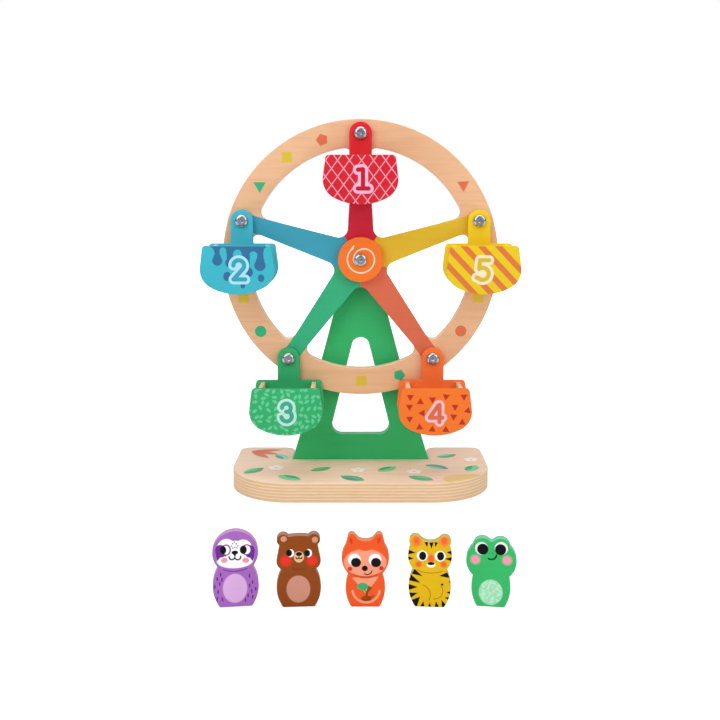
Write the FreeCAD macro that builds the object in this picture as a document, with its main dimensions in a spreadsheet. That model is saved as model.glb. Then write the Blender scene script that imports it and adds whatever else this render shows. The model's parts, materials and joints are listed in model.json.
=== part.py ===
import FreeCAD, Part
import math
import os

import Sketcher
from FreeCAD import Vector

# A toy Ferris wheel of painted plywood, with five gondolas and five flat animal riders.
# Millimetres. Seen from the front, X runs to the right, Y runs away along the axle and Z runs up.
# The origin is the centre of the base board's underside.

GONDOLAS = 5
STEP_DEG = 360 / GONDOLAS
FIRST_PIVOT_DEG = 90

doc = FreeCAD.newDocument("ferris_wheel")
sheet = doc.addObject("Spreadsheet::Sheet", "Sizes")

SIZES = [
    # base board
    ("base_width", 194),
    ("base_depth", 97),
    ("base_thick", 15),
    ("base_front_round", 46),
    ("base_rear_round", 8),
    ("notch_depth", 35),
    ("notch_round", 8),
    ("seat_clearance", 0.2),
    # stand frame
    ("stand_foot_width", 106),
    ("stand_thick", 8),
    ("stand_side_sag", 1.4),
    ("stand_top_round", 9.8),
    ("stand_gap", 8),
    ("sill_height", 35),
    ("sill_width", 48.4),
    ("sill_round", 7.5),
    ("window_peak_height", 132.7),
    ("window_peak_round", 6.8),
    # wheel
    ("hub_height", 172.5),
    ("wheel_radius", 102.5),
    ("rim_width", 20),
    ("wheel_thick", 8),
    ("pivot_radius", 92),
    ("spoke_root_width", 22),
    ("spoke_tip_width", 11.2),
    ("spoke_hub_round", 7),
    ("spoke_rim_round", 6),
    ("hub_disc_radius", 16.6),
    ("hub_disc_thick", 8),
    # gondolas
    ("panel_width", 53),
    ("panel_top_width", 49.4),
    ("panel_height", 34.5),
    ("panel_thick", 4),
    ("panel_drop", 16.6),
    ("panel_top_round", 2.5),
    ("panel_side_round", 14.5),
    ("panel_bottom_round", 40),
    ("strap_width", 16.5),
    ("basket_depth", 27.2),
    ("slat_thick", 3),
    ("slat_gap", 35),
    ("slat_drop", 1),
    ("slat_height", 26),
    ("pivot_gap", 0.5),
    # fasteners
    ("bolt_radius", 2.5),
    ("bore_clearance", 0.05),
    ("play", 0.2),
    ("head_radius", 4.75),
    ("head_height", 2.75),
    ("head_flat", 2.8),
    ("socket_width", 3),
    ("socket_depth", 1.5),
    ("pivot_bolt_length", 12),
    ("axle_bolt_length", 35),
    ("nut_width", 8),
    ("cap_nut_height", 5),
    ("cap_nut_bore", 3.6),
    # riders
    ("rider_thick", 5),
    ("sloth_place", -67.9),
    ("bear_place", -33.6),
    ("fox_place", 2.6),
    ("tiger_place", 37.6),
    ("frog_place", 70.9),
    ("rider_row_gap", 168.5),
    ("rider_view", 493),
]

for row, (alias, number) in enumerate(SIZES, start=1):
    sheet.set(f"A{row}", alias)
    sheet.set(f"B{row}", str(number))
    sheet.setAlias(f"B{row}", alias)
doc.recompute()


def size(alias):
    return float(sheet.get(alias))


# The stack from the stand frame forward, as expressions on the sheet
STAND_FRONT = "(Sizes.base_depth / 2 - Sizes.notch_depth)"
STAND_BACK = f"({STAND_FRONT} + Sizes.stand_thick)"
WHEEL_BACK = f"({STAND_FRONT} - Sizes.stand_gap)"
WHEEL_FRONT = f"({WHEEL_BACK} - Sizes.wheel_thick)"
STRAP_BACK = f"({WHEEL_FRONT} - Sizes.pivot_gap)"
BASKET_BACK = f"({STRAP_BACK} - Sizes.panel_thick)"
BASKET_FRONT = f"({BASKET_BACK} - Sizes.basket_depth)"
HUB_DISC_FRONT = f"({WHEEL_FRONT} - Sizes.hub_disc_thick)"
BORE = "(Sizes.bolt_radius + Sizes.bore_clearance)"

bore_radius = size("bolt_radius") + size("bore_clearance")
wheel_inner_radius = size("wheel_radius") - size("rim_width")


# Documents, bodies and sketches


def new_body(label):
    body = doc.addObject("PartDesign::Body", label)
    body.Label = label
    return body


def origin_part(body, role):
    return next(item for item in body.Origin.OriginFeatures if item.Role == role)


def new_sketch(body, name, role="XZ_Plane", offset=None):
    sketch = body.newObject("Sketcher::SketchObject", f"{body.Name}_{name}")
    sketch.AttachmentSupport = [(origin_part(body, role), "")]
    sketch.MapMode = "FlatFace"
    if offset:
        sketch.setExpression("AttachmentOffset.Base.z", offset)
    return sketch


def place(item, x=None, y=None, z=None):
    """Tie an object's place to the sheet, one expression for each direction that isn't zero"""
    for axis, expression in (("x", x), ("y", y), ("z", z)):
        if expression:
            item.setExpression(f"Placement.Base.{axis}", expression)


def bind(sketch, kind, expression, *args):
    number = sketch.addConstraint(Sketcher.Constraint(kind, *args))
    sketch.setExpression(f"Constraints[{number}]", expression)


def pin(sketch, geometry, point, x=None, y=None):
    """Fix a sketch point's distance from the origin along X or Y with an expression"""
    here = sketch.getPoint(geometry, point)
    for kind, distance, expression in (("DistanceX", here.x, x), ("DistanceY", here.y, y)):
        if not expression:
            continue
        if distance < 0:
            bind(sketch, kind, expression, geometry, point, -1, 1, -distance)
        else:
            bind(sketch, kind, expression, -1, 1, geometry, point, distance)


# Outlines: a step is (start, end) for a line and (start, via, end) for an arc


def heading(step, at_end):
    """Unit direction of travel at the start or the end of a step"""
    start, end = Vector(*step[0], 0), Vector(*step[-1], 0)
    if len(step) == 2:
        return (end - start).normalize()
    via = Vector(*step[1], 0)
    centre = Part.ArcOfCircle(start, via, end).Center
    turn = (via - start).cross(end - via).z
    spoke = (end if at_end else start) - centre
    return Vector(-spoke.y, spoke.x, 0).normalize() * math.copysign(1, turn)


def trace(sketch, path):
    """Draw a closed outline, with a tangent joint wherever it runs on smoothly"""
    joints = []
    for step in path:
        points = [Vector(*point, 0) for point in step]
        if len(step) == 2:
            number = sketch.addGeometry(Part.LineSegment(*points))
            joints.append((number, 1, 2))
            continue
        turn = (points[1] - points[0]).cross(points[2] - points[1]).z
        if turn > 0:
            number = sketch.addGeometry(Part.ArcOfCircle(*points))
            joints.append((number, 1, 2))
        else:
            number = sketch.addGeometry(Part.ArcOfCircle(*reversed(points)))
            joints.append((number, 2, 1))
    for here, (number, start, end) in enumerate(joints):
        following = (here + 1) % len(joints)
        next_number, next_start, next_end = joints[following]
        bend = heading(path[here], True).cross(heading(path[following], False)).Length
        kind = "Tangent" if bend < 1e-5 else "Coincident"
        sketch.addConstraint(Sketcher.Constraint(kind, number, end, next_number, next_start))
    return [number for number, start, end in joints]


def rounded(sketch, corners):
    """Draw a polygon whose corners are (x, y, alias of the corner's radius or None)"""
    count = len(corners)
    path = []
    radii = []
    entry = []
    for here, (x, y, alias) in enumerate(corners):
        corner = Vector(x, y, 0)
        before = Vector(*corners[here - 1][:2], 0) - corner
        after = Vector(*corners[(here + 1) % count][:2], 0) - corner
        radius = size(alias) if alias else 0
        half = before.getAngle(after) / 2
        reach = radius / math.tan(half)
        middle = (before.normalize() + after.normalize()).normalize()
        centre = corner + middle * (radius / math.sin(half))
        start = corner + before * reach
        via = centre - middle * radius
        end = corner + after * reach
        entry.append((start, via, end, alias))
    for here, (start, via, end, alias) in enumerate(entry):
        if alias:
            path.append(((start.x, start.y), (via.x, via.y), (end.x, end.y)))
            radii.append((len(path) - 1, alias))
        target = entry[(here + 1) % count][0]
        path.append(((end.x, end.y), (target.x, target.y)))
    numbers = trace(sketch, path)
    for index, alias in radii:
        bind(sketch, "Radius", f"Sizes.{alias}", numbers[index], size(alias))
    return path, numbers


def square_up(sketch, path, numbers):
    """Keep the lines of an outline that run along an axis on that axis"""
    for step, number in zip(path, numbers):
        if len(step) == 3:
            continue
        (x0, y0), (x1, y1) = step
        if abs(y0 - y1) < 1e-6:
            sketch.addConstraint(Sketcher.Constraint("Horizontal", number))
        elif abs(x0 - x1) < 1e-6:
            sketch.addConstraint(Sketcher.Constraint("Vertical", number))


def add_circle(sketch, x, y, radius, radius_rule, x_rule=None, y_rule=None):
    number = sketch.addGeometry(Part.Circle(Vector(x, y, 0), Vector(0, 0, 1), radius))
    bind(sketch, "Radius", radius_rule, number, radius)
    if x_rule:
        pin(sketch, number, 3, x=x_rule)
    else:
        sketch.addConstraint(Sketcher.Constraint("PointOnObject", number, 3, -2))
    if y_rule:
        pin(sketch, number, 3, y=y_rule)
    else:
        sketch.addConstraint(Sketcher.Constraint("PointOnObject", number, 3, -1))
    return number


# Features. A plate's back face lies on its own XZ plane and the plate stands in front of it.


def pad(body, sketch, length_rule):
    feature = body.newObject("PartDesign::Pad", f"{sketch.Name}_pad")
    feature.Profile = sketch
    feature.setExpression("Length", length_rule)
    return feature


def pocket_through(body, sketch):
    """Cut a plate from its back face forward through its whole thickness"""
    feature = body.newObject("PartDesign::Pocket", f"{sketch.Name}_cut")
    feature.Profile = sketch
    feature.Type = "ThroughAll"
    feature.Reversed = True
    return feature


def pocket_to(body, sketch, depth_rule, reverse=False):
    feature = body.newObject("PartDesign::Pocket", f"{sketch.Name}_cut")
    feature.Profile = sketch
    feature.setExpression("Length", depth_rule)
    feature.Reversed = reverse
    return feature


def revolve(body, sketch):
    """Turn a profile about the sketch's first construction line"""
    feature = body.newObject("PartDesign::Revolution", f"{sketch.Name}_turned")
    feature.Profile = sketch
    feature.ReferenceAxis = (sketch, ["Axis0"])
    feature.Angle = 360
    return feature


def repeat_round(body, features):
    """Repeat features about the wheel's axis, once for each gondola"""
    pattern = body.newObject("PartDesign::PolarPattern", f"{body.Name}_round")
    pattern.Originals = features
    pattern.Axis = (origin_part(body, "Y_Axis"), [""])
    pattern.Angle = 360
    pattern.Occurrences = GONDOLAS
    body.Tip = pattern


# Base board: rounded front, a notch in the back edge for the foot of the stand frame


def make_base_board():
    body = new_body("base_board")
    sketch = new_sketch(body, "outline", "XY_Plane")
    right = size("base_width") / 2
    back = size("base_depth") / 2
    notch_side = size("stand_foot_width") / 2 + size("seat_clearance")
    notch_wall = back - size("notch_depth")
    path, numbers = rounded(
        sketch,
        [
            (-right, -back, "base_front_round"),
            (right, -back, "base_front_round"),
            (right, back, "base_rear_round"),
            (notch_side, back, "notch_round"),
            (notch_side, notch_wall, None),
            (-notch_side, notch_wall, None),
            (-notch_side, back, "notch_round"),
            (-right, back, "base_rear_round"),
        ],
    )
    square_up(sketch, path, numbers)
    lines = [number for step, number in zip(path, numbers) if len(step) == 2]
    front, right_side, rear_right, notch_right, wall, notch_left, rear_left, left_side = lines
    notch_rule = "Sizes.stand_foot_width / 2 + Sizes.seat_clearance"
    pin(sketch, front, 1, y="Sizes.base_depth / 2")
    pin(sketch, right_side, 1, x="Sizes.base_width / 2")
    pin(sketch, left_side, 1, x="Sizes.base_width / 2")
    pin(sketch, rear_right, 1, y="Sizes.base_depth / 2")
    pin(sketch, rear_left, 1, y="Sizes.base_depth / 2")
    pin(sketch, wall, 1, x=notch_rule, y="Sizes.base_depth / 2 - Sizes.notch_depth")
    pin(sketch, wall, 2, x=notch_rule)
    pad(body, sketch, "Sizes.base_thick")


# Stand frame: a plate like the letter A, its foot standing in the notch


def make_stand_frame():
    body = new_body("stand_frame")
    foot = size("stand_foot_width") / 2
    floor_top = size("base_thick")
    hub = size("hub_height")
    top_round = size("stand_top_round")
    sag = size("stand_side_sag")

    # the sides lean in and run, slightly hollow, onto the round top about the axle
    run = math.hypot(foot, hub - floor_top)
    lean = math.atan2(foot, hub - floor_top) - math.asin(top_round / run)
    chord = run * math.cos(math.asin(top_round / run))
    tilt = lean - 4 * sag / chord
    top = (top_round * math.cos(tilt), hub + top_round * math.sin(tilt))
    middle = ((foot + top[0]) / 2, (floor_top + top[1]) / 2)
    via = (middle[0] - sag * math.cos(lean), middle[1] - sag * math.sin(lean))

    outline = new_sketch(body, "outline")
    path = [
        ((-foot, 0), (foot, 0)),
        ((foot, 0), (foot, floor_top)),
        ((foot, floor_top), via, top),
        (top, (0, hub + top_round), (-top[0], top[1])),
        ((-top[0], top[1]), (-via[0], via[1]), (-foot, floor_top)),
        ((-foot, floor_top), (-foot, 0)),
    ]
    numbers = trace(outline, path)
    square_up(outline, path, numbers)
    pin(outline, numbers[1], 2, x="Sizes.stand_foot_width / 2", y="Sizes.base_thick")
    pin(outline, numbers[3], 3, y="Sizes.hub_height")
    bind(outline, "Radius", "Sizes.stand_top_round", numbers[3], top_round)
    pad(body, outline, "Sizes.stand_thick")

    window = new_sketch(body, "window")
    rounded(
        window,
        [
            (-size("sill_width") / 2, size("sill_height"), "sill_round"),
            (size("sill_width") / 2, size("sill_height"), "sill_round"),
            (0, size("window_peak_height"), "window_peak_round"),
        ],
    )
    doc.recompute()
    pocket_through(body, window)

    hole = new_sketch(body, "hole")
    add_circle(hole, 0, hub, bore_radius, BORE, None, "Sizes.hub_height")
    doc.recompute()
    pocket_through(body, hole)
    place(body, y=STAND_BACK)


# Wheel: rim and five tapered spokes cut from one plate, modelled about the hub


def window_path():
    """The opening between the two lowest spokes, symmetric about the vertical"""
    inner = wheel_inner_radius
    hub_round = size("spoke_hub_round")
    rim_round = size("spoke_rim_round")
    direction = math.radians(STEP_DEG / 2 - 90)
    along = Vector(math.cos(direction), math.sin(direction), 0)
    across = Vector(along.y, -along.x, 0)
    root = across * (size("spoke_root_width") / 2)
    tip = along * inner + across * (size("spoke_tip_width") / 2)
    edge = (tip - root).normalize()
    inward = Vector(edge.y, -edge.x, 0)

    hub_centre = Vector(0, (hub_round + root.dot(inward)) / inward.y, 0)
    edge_low = hub_centre - inward * hub_round

    # the rim fillet's centre lies one fillet inside both the spoke's edge and the rim
    start = root + inward * rim_round
    half = start.dot(edge)
    far = start.dot(start) - (inner - rim_round) ** 2
    rim_centre = start + edge * (-half + math.sqrt(half * half - far))
    edge_high = rim_centre - inward * rim_round
    on_rim = rim_centre * (inner / rim_centre.Length)
    bisector = (on_rim - rim_centre).normalize() - inward
    rim_via = rim_centre + bisector.normalize() * rim_round

    def flip(point):
        return (-point.x, point.y)

    def plain(point):
        return (point.x, point.y)

    return [
        (flip(edge_low), (0, hub_centre.y + hub_round), plain(edge_low)),
        (plain(edge_low), plain(edge_high)),
        (plain(edge_high), plain(rim_via), plain(on_rim)),
        (plain(on_rim), (0, -inner), flip(on_rim)),
        (flip(on_rim), flip(rim_via), flip(edge_high)),
        (flip(edge_high), flip(edge_low)),
    ]


def make_wheel():
    body = new_body("wheel")
    outline = new_sketch(body, "outline")
    add_circle(outline, 0, 0, size("wheel_radius"), "Sizes.wheel_radius")
    add_circle(outline, 0, 0, bore_radius, BORE)
    pad(body, outline, "Sizes.wheel_thick")

    window = new_sketch(body, "window")
    numbers = trace(window, window_path())
    window.addConstraint(Sketcher.Constraint("Coincident", numbers[3], 3, -1, 1))
    bind(window, "Radius", "Sizes.wheel_radius - Sizes.rim_width", numbers[3], wheel_inner_radius)
    bind(window, "Radius", "Sizes.spoke_hub_round", numbers[0], size("spoke_hub_round"))
    bind(window, "Radius", "Sizes.spoke_rim_round", numbers[2], size("spoke_rim_round"))
    pivot_hole = new_sketch(body, "pivot_hole")
    add_circle(pivot_hole, 0, size("pivot_radius"), bore_radius, BORE, None, "Sizes.pivot_radius")
    doc.recompute()
    cuts = [pocket_through(body, window), pocket_through(body, pivot_hole)]
    doc.recompute()
    repeat_round(body, cuts)
    place(body, y=WHEEL_BACK, z="Sizes.hub_height")


def make_hub_disc():
    body = new_body("hub_disc")
    outline = new_sketch(body, "outline")
    add_circle(outline, 0, 0, size("hub_disc_radius"), "Sizes.hub_disc_radius")
    add_circle(outline, 0, 0, bore_radius, BORE)
    pad(body, outline, "Sizes.hub_disc_thick")
    place(body, y=WHEEL_FRONT, z="Sizes.hub_height")


# Fasteners, each modelled about the axle's axis or, where it sits on the rim, above it


def add_hexagon(sketch, alias, height=0, height_rule=None):
    """Draw a hexagon by its width across flats, inside a construction circle"""
    corner = size(alias) / math.sqrt(3)
    circle = add_circle(sketch, 0, height, corner, f"Sizes.{alias} / sqrt(3)", None, height_rule)
    sketch.toggleConstruction(circle)
    turns = [math.radians(60 * turn) for turn in range(6)]
    points = [(corner * math.cos(turn), height + corner * math.sin(turn)) for turn in turns]
    sides = trace(sketch, [(points[here], points[(here + 1) % 6]) for here in range(6)])
    for side in sides:
        sketch.addConstraint(Sketcher.Constraint("PointOnObject", side, 1, circle))
    for side in sides[1:]:
        sketch.addConstraint(Sketcher.Constraint("Equal", sides[0], side))
    sketch.addConstraint(Sketcher.Constraint("Horizontal", sides[1]))


def make_bolts(label, length_alias, y_rule, height=0, height_rule=None, repeat=None):
    """Button-head bolts, the underside of the head on the XZ plane and the shank behind it"""
    body = new_body(label)
    body.AllowCompound = repeat is not None
    top = -size("head_height")
    flat = size("head_flat")
    head = size("head_radius")
    shank = size("bolt_radius")
    length = size(length_alias)
    corners = [(top, 0), (top, flat), (0, head), (0, shank), (length, shank), (length, 0)]

    profile = new_sketch(body, "profile", "YZ_Plane")
    points = [(along, height + away) for along, away in corners]
    path = list(zip(points, points[1:] + points[:1]))
    numbers = trace(profile, path)
    square_up(profile, path, numbers)
    face, dome, seat, side, tip, middle = numbers
    bind(profile, "DistanceY", "Sizes.head_flat", face, 1, face, 2, flat)
    bind(profile, "DistanceY", "Sizes.head_radius", middle, 2, dome, 2, head)
    bind(profile, "DistanceY", "Sizes.bolt_radius", tip, 2, tip, 1, shank)
    pin(profile, face, 1, x="Sizes.head_height")
    pin(profile, tip, 1, x=f"Sizes.{length_alias}")
    profile.addConstraint(Sketcher.Constraint("PointOnObject", seat, 1, -2))
    axis = profile.addGeometry(Part.LineSegment(Vector(*points[-1], 0), Vector(*points[0], 0)), True)
    profile.addConstraint(Sketcher.Constraint("Coincident", axis, 1, tip, 2))
    profile.addConstraint(Sketcher.Constraint("Coincident", axis, 2, face, 1))
    if height_rule:
        pin(profile, axis, 1, y=height_rule)
    else:
        profile.addConstraint(Sketcher.Constraint("PointOnObject", axis, 1, -1))
    turned = revolve(body, profile)

    socket = new_sketch(body, "socket", "XZ_Plane", "Sizes.head_height")
    add_hexagon(socket, "socket_width", height, height_rule)
    doc.recompute()
    socketed = pocket_to(body, socket, "Sizes.socket_depth")
    doc.recompute()
    if repeat:
        repeat(body, [turned, socketed])
    place(body, y=y_rule, z="Sizes.hub_height")


def make_nut(label, height_rule, bore_rule, y_rule, behind):
    """A hexagon nut on the axle bolt, standing behind or in front of its own XZ plane"""
    body = new_body(label)
    outline = new_sketch(body, "outline")
    add_hexagon(outline, "nut_width")
    nut = pad(body, outline, height_rule)
    nut.Reversed = behind
    bore = new_sketch(body, "bore")
    add_circle(bore, 0, 0, bore_radius, BORE)
    doc.recompute()
    pocket_to(body, bore, bore_rule, not behind)
    place(body, y=y_rule, z="Sizes.hub_height")


# Gondolas, each modelled about its pivot


def panel_joints():
    """Where the right half of a panel's outline changes from one arc or line to the next"""
    top = -size("panel_drop")
    side_round = size("panel_side_round")
    top_round = size("panel_top_round")
    bottom_round = size("panel_bottom_round")
    top_centre = Vector(size("panel_top_width") / 2 - top_round, top - top_round, 0)
    bottom_centre = Vector(0, top - size("panel_height") + bottom_round, 0)
    side_x = size("panel_width") / 2 - side_round
    fall = math.sqrt((bottom_round - side_round) ** 2 - side_x**2)
    side_centre = Vector(side_x, bottom_centre.y - fall, 0)

    # the straight side is the common tangent of the top corner and the side arc
    apart = side_centre - top_centre
    slant = math.atan2(apart.y, apart.x) + math.acos((top_round - side_round) / apart.Length)
    out = Vector(math.cos(slant), math.sin(slant), 0)
    down = (side_centre - bottom_centre).normalize()
    up = Vector(0, 1, 0)

    def around(centre, radius, one, other):
        return centre + (one + other).normalize() * radius

    return {
        "top": top_centre + up * top_round,
        "top_via": around(top_centre, top_round, up, out),
        "side_high": top_centre + out * top_round,
        "side_low": side_centre + out * side_round,
        "side_via": around(side_centre, side_round, out, down),
        "turn": side_centre + down * side_round,
        "bottom": bottom_centre - up * bottom_round,
    }


def panel_path(with_strap):
    joint = {name: (point.x, point.y) for name, point in panel_joints().items()}
    path = [
        ((-joint["turn"][0], joint["turn"][1]), joint["bottom"], joint["turn"]),
        (joint["turn"], joint["side_via"], joint["side_low"]),
        (joint["side_low"], joint["side_high"]),
        (joint["side_high"], joint["top_via"], joint["top"]),
    ]
    left = [tuple((-x, y) for x, y in reversed(step)) for step in reversed(path[1:])]
    top_left = left[0][0]
    if not with_strap:
        return path + [(joint["top"], top_left)] + left
    half = size("strap_width") / 2
    top = joint["top"][1]
    strap = [
        (joint["top"], (half, top)),
        ((half, top), (half, 0)),
        ((half, 0), (0, half), (-half, 0)),
        ((-half, 0), (-half, top)),
        ((-half, top), top_left),
    ]
    return path + strap + left


def make_panel(label, with_strap, x_rule, y_rule, z_rule):
    body = new_body(label)
    outline = new_sketch(body, "outline")
    path = panel_path(with_strap)
    numbers = trace(outline, path)
    bind(outline, "Radius", "Sizes.panel_bottom_round", numbers[0], size("panel_bottom_round"))
    bind(outline, "Radius", "Sizes.panel_side_round", numbers[1], size("panel_side_round"))
    bind(outline, "Radius", "Sizes.panel_top_round", numbers[3], size("panel_top_round"))
    if with_strap:
        bind(outline, "Radius", "Sizes.strap_width / 2", numbers[6], size("strap_width") / 2)
        outline.addConstraint(Sketcher.Constraint("Coincident", numbers[6], 3, -1, 1))
        add_circle(outline, 0, 0, bore_radius, BORE)
    pad(body, outline, "Sizes.panel_thick")
    place(body, x_rule, y_rule, z_rule)


def make_slat(label, lengths, x_rule, z_rule):
    """A bare slat between the two panels: lengths are the rules for its size along X and Z"""
    slat = doc.addObject("Part::Box", label)
    slat.Label = label
    slat.setExpression("Length", lengths[0])
    slat.setExpression("Width", "Sizes.basket_depth")
    slat.setExpression("Height", lengths[1])
    place(slat, x_rule, BASKET_FRONT, z_rule)


def make_gondola(number):
    angle = FIRST_PIVOT_DEG + (number - 1) * STEP_DEG
    pivot_x = f"Sizes.pivot_radius * cos({angle} deg)"
    pivot_z = f"Sizes.hub_height + Sizes.pivot_radius * sin({angle} deg)"
    name = f"gondola_{number}"
    make_panel(f"{name}_back", True, pivot_x, STRAP_BACK, pivot_z)
    make_panel(f"{name}_front", False, pivot_x, BASKET_FRONT, pivot_z)
    slat_top = f"{pivot_z} - Sizes.panel_drop - Sizes.slat_drop"
    slat_low = f"{slat_top} - Sizes.slat_height"
    upright = ("Sizes.slat_thick", "Sizes.slat_height")
    make_slat(f"{name}_slat_left", upright, f"{pivot_x} - Sizes.slat_gap / 2 - Sizes.slat_thick", slat_low)
    make_slat(f"{name}_slat_right", upright, f"{pivot_x} + Sizes.slat_gap / 2", slat_low)
    flat = ("Sizes.slat_gap", "Sizes.slat_thick")
    make_slat(f"{name}_floor", flat, f"{pivot_x} - Sizes.slat_gap / 2", slat_low)


# Riders: flat figures cut from board. Each right half runs from the foot up to the crown,
# in millimetres from the middle of the foot, and the last point lies on the crown's middle.

RIDERS = {
    "sloth": [
        ((8.6, 0), (12.35, 10.8), (9.4, 22.5)),
        ((9.4, 22.5), (0, 42.7)),
    ],
    "bear": [
        ((8.5, 0), (11.95, 10.5), (9.1, 21.2)),
        ((9.1, 21.2), (11.6, 24), (11.6, 27.6)),
        ((11.6, 27.6), (10.2, 34.8)),
        ((10.2, 34.8), (10.6, 40.1), (5.4, 39.6)),
        ((5.4, 39.6), (0, 40.1)),
    ],
    "fox": [
        ((7.6, 0), (10.65, 9.8), (9.1, 18.5)),
        ((9.1, 18.5), (12.75, 27.4), (10.6, 34.6)),
        ((10.6, 34.6), (9.5, 39)),
        ((9.5, 39), (7.5, 41.2), (5.3, 39.8)),
        ((5.3, 39.8), (3.4, 37.9)),
        ((3.4, 37.9), (0, 37.2)),
    ],
    "tiger": [
        ((7.7, 0), (11.4, 11), (8.8, 20.9)),
        ((8.8, 20.9), (11.8, 28.2), (10.2, 34.2)),
        ((10.2, 34.2), (9.3, 39.6), (5, 38.2)),
        ((5, 38.2), (0, 36.4)),
    ],
    "frog": [
        ((7.4, 0), (10.5, 10.5), (9.6, 17.1)),
        ((9.6, 17.1), (13.5, 25.6), (10, 34.3)),
        ((10, 34.3), (5.6, 38.7), (1, 37.1)),
        ((1, 37.1), (0, 36.8)),
    ],
}


def make_rider(name, half):
    body = new_body(f"rider_{name}")
    outline = new_sketch(body, "outline")
    shoulder, crown = half[-1]
    rising = half[:-1]
    falling = [tuple((-x, z) for x, z in reversed(step)) for step in reversed(rising)]
    foot = rising[0][0]
    over = [(shoulder, crown, (-shoulder[0], shoulder[1]))]
    path = [((-foot[0], 0), foot)] + rising + over + falling
    numbers = trace(outline, path)
    outline.addConstraint(Sketcher.Constraint("Symmetric", numbers[0], 1, numbers[0], 2, -1, 1))
    pad(body, outline, "Sizes.rider_thick")
    along_row = f"Sizes.{name}_place"
    row = "-Sizes.base_depth / 2 - Sizes.rider_row_gap"

    # each rider looks at one point straight in front of the toy
    body.Placement.Rotation = FreeCAD.Rotation(Vector(0, 0, 1), 1)
    body.setExpression("Placement.Rotation.Angle", f"-atan({along_row} / Sizes.rider_view)")
    place(body, along_row, row)


# The whole toy

make_base_board()
make_stand_frame()
make_wheel()
make_hub_disc()

LOCK_NUT_HEIGHT = "Sizes.stand_gap - Sizes.play"
make_bolts("axle_bolt", "axle_bolt_length", f"{HUB_DISC_FRONT} - Sizes.play")
make_nut("axle_lock_nut", LOCK_NUT_HEIGHT, LOCK_NUT_HEIGHT, STAND_FRONT, False)
make_nut("axle_cap_nut", "Sizes.cap_nut_height", "Sizes.cap_nut_bore", STAND_BACK, True)
on_rim = (size("pivot_radius"), "Sizes.pivot_radius")
make_bolts("pivot_bolts", "pivot_bolt_length", f"{BASKET_BACK} - Sizes.play", *on_rim, repeat_round)

for gondola in range(1, GONDOLAS + 1):
    make_gondola(gondola)
for rider, half_outline in RIDERS.items():
    make_rider(rider, half_outline)

doc.recompute()

# Check every object before anything is written

failed = [item.Label for item in doc.Objects if "Invalid" in item.State or "Error" in item.State]
if failed:
    raise RuntimeError(f"These did not build: {failed}")

pieces = [item for item in doc.Objects if item.TypeId in ("PartDesign::Body", "Part::Box")]
for piece in pieces:
    if piece.Shape.isNull() or not piece.Shape.isValid():
        raise RuntimeError(f"{piece.Label} has no valid shape")

os.makedirs("parts", exist_ok=True)
for piece in pieces:
    piece.Shape.exportStep(f"parts/{piece.Label}.step")
    box = piece.Shape.BoundBox
    print(
        f"{piece.Label:24s} solids {len(piece.Shape.Solids)} volume {piece.Shape.Volume:10.1f}"
        f"  x {box.XMin:7.1f} {box.XMax:7.1f}  y {box.YMin:7.1f} {box.YMax:7.1f}"
        f"  z {box.ZMin:7.1f} {box.ZMax:7.1f}"
    )
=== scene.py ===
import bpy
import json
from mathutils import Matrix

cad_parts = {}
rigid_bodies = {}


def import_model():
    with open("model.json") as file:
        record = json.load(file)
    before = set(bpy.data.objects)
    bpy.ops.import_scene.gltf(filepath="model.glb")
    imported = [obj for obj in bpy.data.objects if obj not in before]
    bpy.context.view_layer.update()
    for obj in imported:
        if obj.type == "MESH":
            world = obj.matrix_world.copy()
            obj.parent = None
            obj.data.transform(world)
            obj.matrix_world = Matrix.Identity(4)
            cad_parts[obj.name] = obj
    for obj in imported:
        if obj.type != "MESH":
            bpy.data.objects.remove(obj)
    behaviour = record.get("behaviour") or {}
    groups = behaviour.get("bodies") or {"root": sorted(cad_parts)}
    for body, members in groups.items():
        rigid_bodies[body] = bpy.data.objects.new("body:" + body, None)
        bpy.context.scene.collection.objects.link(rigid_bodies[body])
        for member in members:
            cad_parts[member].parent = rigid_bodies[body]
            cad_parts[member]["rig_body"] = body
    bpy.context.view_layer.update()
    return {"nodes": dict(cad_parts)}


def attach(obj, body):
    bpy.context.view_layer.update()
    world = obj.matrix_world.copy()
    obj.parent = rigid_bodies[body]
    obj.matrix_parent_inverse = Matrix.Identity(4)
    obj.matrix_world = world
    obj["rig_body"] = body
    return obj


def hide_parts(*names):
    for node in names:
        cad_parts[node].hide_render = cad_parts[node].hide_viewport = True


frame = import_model()

import json
import math

import bmesh
import bpy
from mathutils import Matrix, Vector

MM = 0.001
HUB = Vector((0, 0, 172.5 * MM))
PIVOT_RADIUS = 92 * MM
# Degrees from one spoke to the next.
SPOKE_STEP = 72
PIVOTS = [
    HUB + PIVOT_RADIUS * Vector((math.sin(turn), 0, math.cos(turn)))
    for turn in (math.radians(-SPOKE_STEP * count) for count in range(5))
]
# Front faces along Y.
STRAP_FRONT = -7 * MM
HUB_DISC_FRONT = -10.5 * MM
WHEEL_FRONT = -2.5 * MM
# Thickness of the plates whose sawn edges show their layers.
WHEEL_THICKNESS = 8 * MM
BASE_THICKNESS = 15 * MM
# A face counts as flat when its normal reaches further than this along the axis.
FLAT_FACE = 0.72


def shade(red, green, blue):
    """A colour as a painter's chart gives it, 0 to 255, ready for a shader."""

    def straight(value):
        value /= 255
        return value / 12.92 if value <= 0.04045 else ((value + 0.055) / 1.055) ** 2.4

    return (straight(red), straight(green), straight(blue), 1)


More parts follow.
